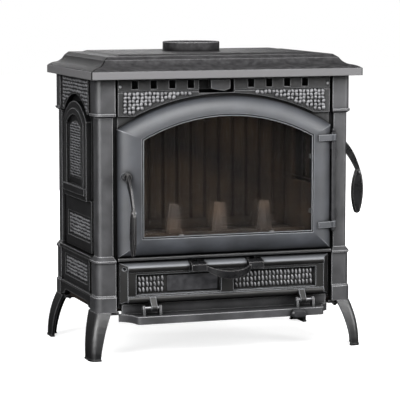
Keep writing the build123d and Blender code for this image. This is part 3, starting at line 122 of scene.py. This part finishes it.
def mathOf(tree, operation, first, second=0):
    node = newNode(tree, "ShaderNodeMath", operation=operation)
    for value, socket in ((first, node.inputs[0]), (second, node.inputs[1])):
        if isinstance(value, (int, float)):
            socket.default_value = value
        else:
            tree.links.new(value, socket)
    return node.outputs[0]


# stretches a value so that the ends of span become the two results
def rangeOf(tree, value, span, results=(0, 1)):
    spread = newNode(tree, "ShaderNodeMapRange")
    spread.inputs["From Min"].default_value = span[0]
    spread.inputs["From Max"].default_value = span[1]
    spread.inputs["To Min"].default_value = results[0]
    spread.inputs["To Max"].default_value = results[1]
    tree.links.new(value, spread.inputs["Value"])
    return spread.outputs["Result"]


# the camera sees the shown shader, also through glass; everything else meets the unshown one
def joinBySight(tree, unshown, shown, outputKind):
    path = newNode(tree, "ShaderNodeLightPath")
    seen = mathOf(
        tree, "MAXIMUM", path.outputs["Is Camera Ray"], path.outputs["Is Transmission Ray"],
    )
    mix = newNode(tree, "ShaderNodeMixShader")
    for value, socket in zip((seen, unshown, shown), mix.inputs):
        tree.links.new(value, socket)
    output = newNode(tree, outputKind)
    tree.links.new(mix.outputs[0], output.inputs[0])


def roomLight(tree, strength):
    light = newNode(tree, "ShaderNodeBackground")
    light.inputs["Color"].default_value = (1, 1, 1, 1)
    light.inputs["Strength"].default_value = strength
    return light.outputs[0]


# a white room to look at, and a grey one that lights the stove
def setRoom(grey, white):
    world = bpy.data.worlds.new("studioRoom")
    bpy.context.scene.world = world
    tree = emptyTree(world)
    joinBySight(tree, roomLight(tree, grey), roomLight(tree, white), "ShaderNodeOutputWorld")


setRoom(lighting["roomGrey"], lighting["roomWhite"])
bpy.context.scene.view_settings.view_transform = "Standard"

# the glow rises from lift's first value to its second over the distances in fade
floorLook = {
    "reach": 14.0, "paint": 0.8, "bounce": 0.03, "lift": (0.68, 1.0), "fade": (0.7, 1.6),
}


def mattePaint(tree, grey):
    paint = newNode(tree, "ShaderNodeBsdfDiffuse")
    paint.inputs["Color"].default_value = (grey, grey, grey, 1)
    return paint.outputs[0]


# a white floor with the stove's shadow to look at, and a dark one that the stove meets
def makeFloor(settings):
    shape = bmesh.new()
    bmesh.ops.create_grid(shape, x_segments=2, y_segments=2, size=settings["reach"])
    mesh = bpy.data.meshes.new("studioFloor")
    shape.to_mesh(mesh)
    shape.free()
    floor = bpy.data.objects.new("studioFloor", mesh)
    bpy.context.scene.collection.objects.link(floor)
    material = bpy.data.materials.new("floorWhite")
    tree = emptyTree(material)
    where = newNode(tree, "ShaderNodeTexCoord")
    away = newNode(tree, "ShaderNodeVectorMath", operation="LENGTH")
    tree.links.new(where.outputs["Object"], away.inputs[0])
    glow = newNode(tree, "ShaderNodeEmission")
    glow.inputs["Color"].default_value = (1, 1, 1, 1)
    lift = rangeOf(tree, away.outputs["Value"], settings["fade"], settings["lift"])
    tree.links.new(lift, glow.inputs["Strength"])
    white = newNode(tree, "ShaderNodeAddShader")
    tree.links.new(glow.outputs[0], white.inputs[0])
    tree.links.new(mattePaint(tree, settings["paint"]), white.inputs[1])
    dark = mattePaint(tree, settings["bounce"])
    joinBySight(tree, dark, white.outputs[0], "ShaderNodeOutputMaterial")
    mesh.materials.append(material)


makeFloor(floorLook)
print("room, lamps and floor set")


def startMaterial(name):
    material = bpy.data.materials.new(name)
    tree = emptyTree(material)
    shader = newNode(tree, "ShaderNodeBsdfPrincipled")
    output = newNode(tree, "ShaderNodeOutputMaterial")
    tree.links.new(shader.outputs[0], output.inputs[0])
    where = newNode(tree, "ShaderNodeTexCoord")
    return material, tree, shader, where.outputs["Object"]


def noiseOf(tree, where, scale, detail, rough=0.55):
    noise = newNode(tree, "ShaderNodeTexNoise")
    noise.inputs["Scale"].default_value = scale
    noise.inputs["Detail"].default_value = detail
    noise.inputs["Roughness"].default_value = rough
    tree.links.new(where, noise.inputs["Vector"])
    return noise.outputs["Fac"]


def blendColours(tree, share, first, second):
    mix = newNode(tree, "ShaderNodeMix", data_type="RGBA")
    tree.links.new(share, mix.inputs["Factor"])
    for colour, socket in ((first, mix.inputs["A"]), (second, mix.inputs["B"])):
        if isinstance(colour, tuple):
            socket.default_value = (*colour, 1)
        else:
            tree.links.new(colour, socket)
    return mix.outputs["Result"]


def addRelief(tree, shader, height, strength, depth, normal=None):
    bump = newNode(tree, "ShaderNodeBump")
    bump.inputs["Strength"].default_value = strength
    bump.inputs["Distance"].default_value = depth
    tree.links.new(height, bump.inputs["Height"])
    if normal:
        tree.links.new(normal, bump.inputs["Normal"])
    tree.links.new(bump.outputs[0], shader.inputs["Normal"])


edgeFinding = {"samples": 4, "turnSpan": (0.997, 0.94)}
openFinding = {"samples": 6, "openSpan": (0.35, 0.95)}


# how far a surface turns within the edge radius: 1 on corners, 0 on flats; corners get partly
# edge abrasion, partly a painted highlight
def edgeShare(tree, radius):
    rounded = newNode(tree, "ShaderNodeBevel", samples=edgeFinding["samples"])
    rounded.inputs["Radius"].default_value = radius
    geometry = newNode(tree, "ShaderNodeNewGeometry")
    alike = newNode(tree, "ShaderNodeVectorMath", operation="DOT_PRODUCT")
    tree.links.new(rounded.outputs["Normal"], alike.inputs[0])
    tree.links.new(geometry.outputs["Normal"], alike.inputs[1])
    edges = rangeOf(tree, alike.outputs["Value"], edgeFinding["turnSpan"])
    return edges, rounded.outputs["Normal"]


# 0 in corners and narrow gaps, 1 where the surface lies open; the irons use it to paint shade
def openShare(tree, reach):
    hollow = newNode(tree, "ShaderNodeAmbientOcclusion", samples=openFinding["samples"])
    hollow.inputs["Distance"].default_value = reach
    return rangeOf(tree, hollow.outputs["AO"], openFinding["openSpan"])


# what all the cast irons share; each one's look adds its colours, edge abrasion with a painted
# edge highlight, painted shade in hollows, and gloss
castSkin = {
    "patchDetail": 4.0, "patchSpan": (0.35, 0.68), "roughSpan": (0.3, 0.7),
    "grainDetail": 3.0, "grainRough": 0.6, "wearAndGlintSpan": (0.35, 0.7),
    "creviceShine": 0.08, "bumpDepth": 0.0006,
}


# paintOver may recolour the iron and returns where it is whole, 1, or cut by a seam, 0
def castIron(name, look, paintOver=None):
    material, tree, shader, where = startMaterial(name)
    broad = noiseOf(tree, where, look["patchScale"], castSkin["patchDetail"])
    patches = rangeOf(tree, broad, castSkin["patchSpan"])
    colour = blendColours(tree, patches, look["dark"], look["light"])
    grain = noiseOf(
        tree, where, look["grainScale"], castSkin["grainDetail"], castSkin["grainRough"],
    )
    edges, rounded = edgeShare(tree, look["edgeRadius"])
    # corners take the edge colour, broken up by the grain: partly edge abrasion, partly a painted
    # highlight
    wearAndGlint = rangeOf(tree, grain, castSkin["wearAndGlintSpan"], (look["edgeWearAndGlint"], 1))
    edgeLitAndWorn = blendColours(tree, mathOf(tree, "MULTIPLY", edges, wearAndGlint), colour, look["edge"])
    # painted shade: in corners and gaps, and more softly in broader hollows, the iron darkens
    # towards the crevice colour and loses shine
    broadShade = rangeOf(tree, openShare(tree, look["shadeReach"]), (0, 1), (1 - look["shadeDepth"], 1))
    openness = mathOf(tree, "MULTIPLY", openShare(tree, look["creviceReach"]), broadShade)
    if paintOver:
        edgeLitAndWorn, whole = paintOver(tree, where, edgeLitAndWorn)
        openness = mathOf(tree, "MULTIPLY", openness, whole)
    shown = blendColours(tree, openness, look["crevice"], edgeLitAndWorn)
    tree.links.new(shown, shader.inputs["Base Color"])
    shine = rangeOf(tree, openness, (0, 1), (castSkin["creviceShine"], look["shine"]))
    tree.links.new(shine, shader.inputs["Specular IOR Level"])
    roughness = rangeOf(tree, broad, castSkin["roughSpan"], look["rough"])
    tree.links.new(roughness, shader.inputs["Roughness"])
    addRelief(tree, shader, grain, look["bump"], castSkin["bumpDepth"], rounded)
    return material


bodyIronLook = {
    "dark": (0.032, 0.032, 0.034), "light": (0.056, 0.056, 0.06), "edge": (0.5, 0.503, 0.515),
    "crevice": (0.002, 0.002, 0.002), "creviceReach": 0.012, "shadeReach": 0.06, "shadeDepth": 0.85,
    "patchScale": 22.0, "grainScale": 950.0, "edgeRadius": 0.0036, "edgeWearAndGlint": 0.55,
    "rough": (0.38, 0.48), "shine": 0.85, "bump": 0.5,
}
doorIronLook = {
    "dark": (0.032, 0.034, 0.039), "light": (0.05, 0.054, 0.064), "edge": (0.45, 0.465, 0.49),
    "crevice": (0.002, 0.002, 0.002), "creviceReach": 0.014, "shadeReach": 0.06, "shadeDepth": 0.85,
    "patchScale": 14.0, "grainScale": 1300.0, "edgeRadius": 0.0032, "edgeWearAndGlint": 0.5,
    "rough": (0.46, 0.54), "shine": 0.9, "bump": 0.2,
}
# the plates between the posts, the legs and the ash door get darker copies of the iron, a painted
# shade; the legs and the ash door are also glossier
shadedPlateLook = dict(
    bodyIronLook, dark=(0.006, 0.006, 0.0065), light=(0.012, 0.012, 0.013),
    edge=(0.34, 0.342, 0.352),
)
shadedFootLook = dict(
    bodyIronLook, dark=(0.006, 0.006, 0.0065), light=(0.012, 0.012, 0.013),
    edge=(0.2, 0.2, 0.21), rough=(0.32, 0.42),
)
shadedAshLook = dict(
    doorIronLook, dark=(0.005, 0.0048, 0.0045), light=(0.01, 0.0095, 0.009),
    rough=(0.36, 0.46), shine=0.6, shadeDepth=0.5,
)
topIronLook = {
    "dark": (0.012, 0.0115, 0.0125), "light": (0.046, 0.045, 0.047),
    "edge": (0.36, 0.357, 0.365), "crevice": (0.002, 0.002, 0.002), "creviceReach": 0.012,
    "shadeReach": 0.05, "shadeDepth": 0.6, "patchScale": 75.0, "grainScale": 500.0,
    "edgeRadius": 0.0036, "edgeWearAndGlint": 0.4, "rough": (0.55, 0.68), "shine": 0.32, "bump": 0.9,
}
innerIronLook = {
    "dark": (0.016, 0.012, 0.01), "light": (0.07, 0.046, 0.03), "edge": (0.16, 0.12, 0.09),
    "crevice": (0.002, 0.002, 0.002), "creviceReach": 0.01, "shadeReach": 0.05, "shadeDepth": 0.6,
    "patchScale": 11.0, "grainScale": 600.0, "edgeRadius": 0.0018, "edgeWearAndGlint": 0.3,
    "rough": (0.6, 0.85), "shine": 0.4, "bump": 0.9,
}
# the cast bumps get a much lighter, glossier iron than the plates they stand on: a painted
# highlight on their tops
glintReliefLook = {
    "dark": (0.12, 0.12, 0.126), "light": (0.22, 0.22, 0.23), "edge": (0.3, 0.302, 0.315),
    "crevice": (0.001, 0.001, 0.001), "creviceReach": 0.006, "shadeReach": 0.02, "shadeDepth": 0.5,
    "patchScale": 30.0, "grainScale": 950.0, "edgeRadius": 0.0004, "edgeWearAndGlint": 0.35,
    "rough": (0.26, 0.34), "shine": 1.0, "bump": 0.3,
}


def axesOf(tree, vector):
    split = newNode(tree, "ShaderNodeSeparateXYZ")
    tree.links.new(vector, split.inputs[0])
    return split.outputs


def upwardOf(tree):
    geometry = newNode(tree, "ShaderNodeNewGeometry")
    return axesOf(tree, geometry.outputs["Normal"])["Z"]


# top, seamTop, halfWidth and front are where the top plate's moulding lies
fasciaLook = {
    "paint": (0.15, 0.148, 0.152), "top": 0.7688, "upright": 0.5,
    "halfWidth": 0.385, "front": 0.2385, "seam": 0.0024, "seamTop": 0.8055,
}


# the fascia's upright faces are painted lighter than the mouldings, a painted highlight; a dark
# mitre seam crosses each front corner
def paintFascia(tree, where, colour):
    place = axesOf(tree, where)
    level = mathOf(tree, "ABSOLUTE", upwardOf(tree))
    upright = mathOf(tree, "LESS_THAN", level, fasciaLook["upright"])
    low = mathOf(tree, "LESS_THAN", place["Z"], fasciaLook["top"])
    fascia = mathOf(tree, "MULTIPLY", upright, low)
    litFascia = blendColours(tree, fascia, colour, fasciaLook["paint"])
    inset = fasciaLook["halfWidth"] - fasciaLook["front"]
    across = mathOf(tree, "SUBTRACT", mathOf(tree, "ABSOLUTE", place["X"]), inset)
    offLine = mathOf(tree, "ABSOLUTE", mathOf(tree, "ADD", across, place["Y"]))
    besideSeam = mathOf(tree, "GREATER_THAN", offLine, fasciaLook["seam"])
    aboveSeam = mathOf(tree, "GREATER_THAN", place["Z"], fasciaLook["seamTop"])
    return litFascia, mathOf(tree, "MAXIMUM", besideSeam, aboveSeam)


ashLedgeHighlight = {"paint": (0.17, 0.177, 0.19), "low": 0.225, "tiltSpan": (0.12, 0.4)}


# the ash door's upper moulding is painted lighter where it tilts upward: a painted highlight
def paintLedge(tree, where, colour):
    high = mathOf(tree, "GREATER_THAN", axesOf(tree, where)["Z"], ashLedgeHighlight["low"])
    tilted = rangeOf(tree, upwardOf(tree), ashLedgeHighlight["tiltSpan"])
    ledge = mathOf(tree, "MULTIPLY", tilted, high)
    return blendColours(tree, ledge, colour, ashLedgeHighlight["paint"]), 1.0


# gloss black parts: random smudges in colour and roughness, with corners lightened to the edge
# colour, a painted highlight
def glossBlack(name, look):
    material, tree, shader, where = startMaterial(name)
    smudge = noiseOf(tree, where, look["smudgeScale"], look["smudgeDetail"])
    edges, rounded = edgeShare(tree, look["edgeRadius"])
    smudged = rangeOf(tree, smudge, look["colourSpan"])
    colour = blendColours(tree, smudged, look["dark"], look["light"])
    tree.links.new(blendColours(tree, edges, colour, look["edge"]), shader.inputs["Base Color"])
    roughness = rangeOf(tree, smudge, look["roughSpan"], look["rough"])
    tree.links.new(roughness, shader.inputs["Roughness"])
    shader.inputs["Specular IOR Level"].default_value = look["shine"]
    ripple = noiseOf(tree, where, look["rippleScale"], look["rippleDetail"])
    addRelief(tree, shader, ripple, look["bump"], look["bumpDepth"], rounded)
    return material


handleLook = {
    "dark": (0.005, 0.005, 0.0055), "light": (0.009, 0.009, 0.01), "edge": (0.16, 0.155, 0.155),
    "smudgeScale": 45.0, "smudgeDetail": 4.0, "colourSpan": (0.35, 0.65),
    "roughSpan": (0.3, 0.7), "rough": (0.24, 0.34), "shine": 0.5, "edgeRadius": 0.0022,
    "rippleScale": 420.0, "rippleDetail": 2.0, "bump": 0.08, "bumpDepth": 0.0004,
}
darkSteelLook = dict(
    handleLook, dark=(0.018, 0.018, 0.02), light=(0.034, 0.034, 0.037),
    edge=(0.06, 0.06, 0.065), smudgeScale=60.0, rough=(0.34, 0.46), shine=0.55,
    edgeRadius=0.0008,
)


def brightSteel(name, look):
    material, tree, shader, where = startMaterial(name)
    streak = newNode(tree, "ShaderNodeMapping")
    streak.inputs["Scale"].default_value = look["streak"]
    tree.links.new(where, streak.inputs["Vector"])
    lines = noiseOf(tree, streak.outputs[0], look["lineScale"], look["lineDetail"])
    lined = rangeOf(tree, lines, look["colourSpan"])
    colour = blendColours(tree, lined, look["dark"], look["light"])
    tree.links.new(colour, shader.inputs["Base Color"])
    shader.inputs["Metallic"].default_value = 1.0
    roughness = rangeOf(tree, lines, look["roughSpan"], look["rough"])
    tree.links.new(roughness, shader.inputs["Roughness"])
    addRelief(tree, shader, lines, look["bump"], look["bumpDepth"])
    return material


steelLook = {
    "dark": (0.3, 0.3, 0.31), "light": (0.5, 0.5, 0.52), "colourSpan": (0.35, 0.65),
    "streak": (1, 1, 0.08), "lineScale": 900.0, "lineDetail": 2.0,
    "roughSpan": (0.3, 0.7), "rough": (0.34, 0.48), "bump": 0.15, "bumpDepth": 0.0003,
}


# glass-fibre rope: strands wound aslant, grey with a little soot
def ropeSeal(name, look):
    material, tree, shader, where = startMaterial(name)
    wave = newNode(tree, "ShaderNodeTexWave", wave_type="BANDS", bands_direction="DIAGONAL")
    wave.inputs["Scale"].default_value = look["strandScale"]
    wave.inputs["Distortion"].default_value = look["strandWander"]
    wave.inputs["Detail"].default_value = look["strandDetail"]
    tree.links.new(where, wave.inputs["Vector"])
    strands = wave.outputs["Fac"]
    colour = blendColours(tree, strands, look["dark"], look["light"])
    tree.links.new(colour, shader.inputs["Base Color"])
    shader.inputs["Roughness"].default_value = look["rough"]
    addRelief(tree, shader, strands, look["bump"], look["bumpDepth"])
    return material


ropeLook = {
    "dark": (0.08, 0.075, 0.07), "light": (0.3, 0.29, 0.27), "strandScale": 90.0,
    "strandWander": 1.5, "strandDetail": 2.0, "rough": 0.95, "bump": 0.9, "bumpDepth": 0.001,
}


# door glass: clear, a little browner in patches where smoke has touched it
def doorGlass(name, look):
    material, tree, shader, where = startMaterial(name)
    smoke = noiseOf(tree, where, look["smokeScale"], look["smokeDetail"])
    smoked = rangeOf(tree, smoke, look["smokeSpan"])
    colour = blendColours(tree, smoked, look["clear"], look["smoky"])
    tree.links.new(colour, shader.inputs["Base Color"])
    shader.inputs["Transmission Weight"].default_value = 1.0
    shader.inputs["IOR"].default_value = look["bending"]
    shader.inputs["Roughness"].default_value = 0.0
    shader.inputs["Alpha"].default_value = look["body"]
    return material


glassLook = {
    "clear": (0.97, 0.97, 0.965), "smoky": (0.92, 0.905, 0.88), "smokeScale": 5.0,
    "smokeDetail": 3.0, "smokeSpan": (0.4, 0.75), "bending": 1.45, "body": 0.3,
}

# one finish for each of the record's slots
finishes = {
    "stove_iron": castIron("bodyIron", bodyIronLook),
    "door_iron": castIron("doorIron", doorIronLook),
    "top_iron": castIron("topIron", topIronLook, paintFascia),
    "inner_iron": castIron("innerIron", innerIronLook),
    "handle_black": glossBlack("handleBlack", handleLook),
    "dark_steel": glossBlack("darkSteel", darkSteelLook),
    "bright_steel": brightSteel("brightSteel", steelLook),
    "rope_seal": ropeSeal("ropeSeal", ropeLook),
    "clear_glass": doorGlass("doorGlass", glassLook),
}
glintReliefIron = castIron("glintReliefIron", glintReliefLook)
shadedPlateIron = castIron("shadedPlateIron", shadedPlateLook)
shadedFootIron = castIron("shadedFootIron", shadedFootLook)
shadedAshIron = castIron("shadedAshIron", shadedAshLook, paintLedge)

# castings that differ from the rest of their slot: darker copies of its iron, a painted shade
nodeFinishes = {"ash_door": shadedAshIron}
for nodeName in ("front_plate", "left_side_panel", "right_side_panel", "back_panel", "side_door"):
    nodeFinishes[nodeName] = shadedPlateIron
for corner in ("front_left", "front_right", "rear_left", "rear_right"):
    nodeFinishes[corner + "_leg"] = shadedFootIron
nodeSlots = {part["node"]: part["material_slot"] for part in frame["record"]["subparts"]}
for nodeName, cadObject in nodes.items():
    finish = nodeFinishes.get(nodeName, finishes[nodeSlots[nodeName]])
    cadObject.data.materials.clear()
    cadObject.data.materials.append(finish)
print("finishes given to the castings")


def finishPiece(shape, name, body, material, smooth=True):
    bmesh.ops.recalc_face_normals(shape, faces=shape.faces[:])
    mesh = bpy.data.meshes.new(name)
    shape.to_mesh(mesh)
    shape.free()
    for polygon in mesh.polygons:
        polygon.use_smooth = smooth
    mesh.materials.append(material)
    piece = bpy.data.objects.new(name, mesh)
    bpy.context.scene.collection.objects.link(piece)
    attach(piece, body)
    return piece


# extrudes the faces and moves what is new along way
def pullOut(shape, faces, way):
    made = bmesh.ops.extrude_face_region(shape, geom=faces)
    moved = [item for item in made["geom"] if isinstance(item, bmesh.types.BMVert)]
    bmesh.ops.translate(shape, vec=way, verts=moved)


# a turn that lays the local X-Y plane on a face: X runs right as seen, Y up, Z outwards
faceTurns = {
    "front": Matrix(((1, 0, 0), (0, 0, -1), (0, 1, 0))).to_4x4(),
    "left": Matrix(((0, 0, -1), (-1, 0, 0), (0, 1, 0))).to_4x4(),
    "right": Matrix(((0, 0, 1), (1, 0, 0), (0, 1, 0))).to_4x4(),
}

# foot is where a ball of radius 1 is cut flat, grow is how much the bumps differ in size
bumpForm = {"around": 8, "rings": 6, "foot": -0.2, "grow": 0.12}


# one low cast bump, a flattened ball whose foot is cut flat just under the face
def addBump(shape, place, size, turn, faceTurn):
    made = bmesh.ops.create_uvsphere(
        shape, u_segments=bumpForm["around"], v_segments=bumpForm["rings"], radius=1.0,
    )
    for vertex in made["verts"]:
        vertex.co.z = max(vertex.co.z, bumpForm["foot"])
    squash = Matrix.Diagonal((size[0] / 2, size[1] / 2, size[2], 1))
    move = Matrix.Translation(place)
    spin = Matrix.Rotation(turn, 4, "Z")
    bmesh.ops.transform(shape, matrix=faceTurn @ move @ spin @ squash, verts=made["verts"])


# rows of bumps between the field's edges; level is how far out the face lies
def pebbledField(name, field, faceTurn, body):
    look = field["look"]
    shape = bmesh.new()
    chance = random.Random(look["seed"])
    columns = int((field["right"] - field["left"]) // look["across"])
    rows = int((field["high"] - field["low"]) // look["up"])
    stepX = (field["right"] - field["left"]) / columns
    stepY = (field["high"] - field["low"]) / rows
    for row in range(rows):
        for column in range(columns):
            x = field["left"] + (column + 0.5) * stepX
            y = field["low"] + (row + 0.5) * stepY
            x += chance.uniform(-1, 1) * look["jitter"] * stepX
            y += chance.uniform(-1, 1) * look["jitter"] * stepY
            lean = look["lean"]
            if look["crossed"] and (row + column) % 2 == 0:
                lean = -lean
            lean += chance.uniform(-1, 1) * look["leanJitter"]
            grown = 1 + chance.uniform(-bumpForm["grow"], bumpForm["grow"])
            if not field["inside"](x, y):
                continue
            size = (look["size"][0] * grown, look["size"][1] * grown, look["height"] * grown)
            addBump(shape, (x, y, field["level"]), size, math.radians(lean), faceTurn)
    return finishPiece(shape, name, body, glintReliefIron)


def everywhere(x, y):
    return True


# the arches that bound the fields: centre height, radius, and how far the bumps keep clear
friezeArch = {"centre": 0.1065, "radius": 0.6045, "clear": 0.004}
sideArch = {"centre": 0.544, "radius": 0.1565, "clear": 0.006}
innerArch = {"centre": 0.534, "radius": 0.089}


def overDoorArch(x, y):
    return math.hypot(x, y - friezeArch["centre"]) > friezeArch["radius"] + friezeArch["clear"]


def overSideArch(x, y):
    return math.hypot(x, y - sideArch["centre"]) > sideArch["radius"] + sideArch["clear"]


def insideInnerArch(x, y):
    centre = innerArch["centre"]
    return y < centre or math.hypot(x, y - centre) < innerArch["radius"]


# each texture's bumps: across and up are their spacing, size their width and height as seen
friezeLook = {
    "across": 0.0112, "up": 0.0094, "size": (0.0104, 0.013), "height": 0.0044, "lean": 32,
    "crossed": True, "leanJitter": 16, "jitter": 0.14, "seed": 3,
}
blockLook = {
    "across": 0.013, "up": 0.0088, "size": (0.0145, 0.0078), "height": 0.0018, "lean": 16,
    "crossed": True, "leanJitter": 10, "jitter": 0.12, "seed": 5,
}
ribLook = {
    "across": 0.0165, "up": 0.0074, "size": (0.0172, 0.0062), "height": 0.003, "lean": -10,
    "crossed": True, "leanJitter": 6, "jitter": 0.05, "seed": 7,
}
rectangleLook = {
    "across": 0.0118, "up": 0.0084, "size": (0.0125, 0.0078), "height": 0.0026, "lean": -20,
    "crossed": False, "leanJitter": 16, "jitter": 0.14, "seed": 9,
}
ashLook = {
    "across": 0.0105, "up": 0.0145, "size": (0.0068, 0.0158), "height": 0.003, "lean": 12,
    "crossed": False, "leanJitter": 9, "jitter": 0.07, "seed": 11,
}

# both sides carry the same fields; those on the right side's door ride with it
sideTextures = {
    "block_texture": {
        "left": -0.123, "right": 0.123, "low": 0.655, "high": 0.742, "level": 0.3635,
        "inside": overSideArch, "look": blockLook, "onDoor": False,
    },
    "slot_texture": {
        "left": -0.05, "right": 0.05, "low": 0.474, "high": 0.622, "level": 0.3625,
        "inside": insideInnerArch, "look": ribLook, "onDoor": True,
    },
    "upper_rectangle_texture": {
        "left": -0.104, "right": 0.104, "low": 0.308, "high": 0.365, "level": 0.350,
        "inside": everywhere, "look": rectangleLook, "onDoor": True,
    },
    "lower_rectangle_texture": {
        "left": -0.104, "right": 0.104, "low": 0.195, "high": 0.243, "level": 0.3595,
        "inside": everywhere, "look": rectangleLook, "onDoor": False,
    },
}
for side, doorBody in (("left", "stove_body"), ("right", "loading_door")):
    for fieldName, field in sideTextures.items():
        body = doorBody if field["onDoor"] else "stove_body"
        pebbledField(side + "_" + fieldName, field, faceTurns[side], body)

friezeField = {
    "low": 0.656, "high": 0.7125, "level": 0.204, "inside": overDoorArch, "look": friezeLook,
}
for name, left, right in (
    ("frieze_left_texture", -0.288, -0.052), ("frieze_right_texture", 0.052, 0.288),
):
    field = dict(friezeField, left=left, right=right)
    pebbledField(name, field, faceTurns["front"], "stove_body")

ashField = {
    "low": 0.177, "high": 0.221, "level": 0.2103, "inside": everywhere, "look": ashLook,
}
for name, left, right in (
    ("ash_left_texture", -0.252, -0.178), ("ash_right_texture", 0.024, 0.252),
):
    field = dict(ashField, left=left, right=right)
    pebbledField(name, field, faceTurns["front"], "ash_door_leaf")
print("cast textures made")

# a bare plate in the left field of the ash door; sharp is the least angle that gets a bevel
plateLook = {
    "left": -0.170, "right": -0.026, "low": 0.178, "high": 0.220, "level": 0.2099,
    "thickness": 0.0022, "corner": 0.004, "cornerSteps": 4, "rim": 0.0018,
    "bevel": 0.0005, "bevelSteps": 2, "sharp": 0.6,
}


def makeBarePlate(settings):
    shape = bmesh.new()
    bmesh.ops.create_grid(shape, x_segments=1, y_segments=1, size=0.5)
    width = settings["right"] - settings["left"]
    height = settings["high"] - settings["low"]
    middleX = (settings["left"] + settings["right"]) / 2
    middleY = (settings["low"] + settings["high"]) / 2
    place = Matrix.Translation((middleX, middleY, settings["level"]))
    size = Matrix.Diagonal((width, height, 1, 1))
    bmesh.ops.transform(shape, matrix=place @ size, verts=shape.verts[:])
    pullOut(shape, shape.faces[:], (0, 0, settings["thickness"]))
    half = settings["thickness"] / 2
    uprights = [
        edge for edge in shape.edges
        if abs(edge.verts[0].co.z - edge.verts[1].co.z) > half
    ]
    bmesh.ops.bevel(
        shape, geom=uprights, offset=settings["corner"], segments=settings["cornerSteps"],
        profile=0.5, affect="EDGES", material=-1,
    )
    front = [
        face for face in shape.faces
        if face.calc_center_median().z > settings["level"] + 1.5 * half
    ]
    bmesh.ops.inset_region(shape, faces=front, thickness=settings["rim"], depth=0)
    rim = [edge for edge in shape.edges if edge.calc_face_angle(0) > settings["sharp"]]
    bmesh.ops.bevel(
        shape, geom=rim, offset=settings["bevel"], segments=settings["bevelSteps"],
        profile=0.5, affect="EDGES", material=-1,
    )
    bmesh.ops.transform(shape, matrix=faceTurns["front"], verts=shape.verts[:])
    steel = finishes["dark_steel"]
    return finishPiece(shape, "bare_plate", "ash_door_leaf", steel, False)


makeBarePlate(plateLook)
print("bare plate made")

# closes the slit between the back panel and the top plate's rear wall, and the open corners
# beside it: outlines as (x, height), depths from front to back
rearClosure = {
    "bar": ((-0.309, 0.7415), (0.309, 0.7415), (0.309, 0.7535), (-0.309, 0.7535)),
    "barDepth": (0.1916, 0.2021),
    "cap": ((0.3222, 0.7493), (0.3483, 0.7493), (0.3483, 0.7576), (0.3222, 0.7968)),
    "capDepth": (0.2032, 0.2112),
}


def addPrism(shape, outline, depth):
    near, far = depth
    face = shape.faces.new([shape.verts.new((x, near, z)) for x, z in outline])
    pullOut(shape, [face], (0, far - near, 0))


def makeRearClosure(settings):
    shape = bmesh.new()
    addPrism(shape, settings["bar"], settings["barDepth"])
    for side in (-1, 1):
        addPrism(shape, [(side * x, z) for x, z in settings["cap"]], settings["capDepth"])
    iron = finishes["top_iron"]
    return finishPiece(shape, "top_rear_closure", "stove_body", iron, False)


makeRearClosure(rearClosure)
print("rear closure made")
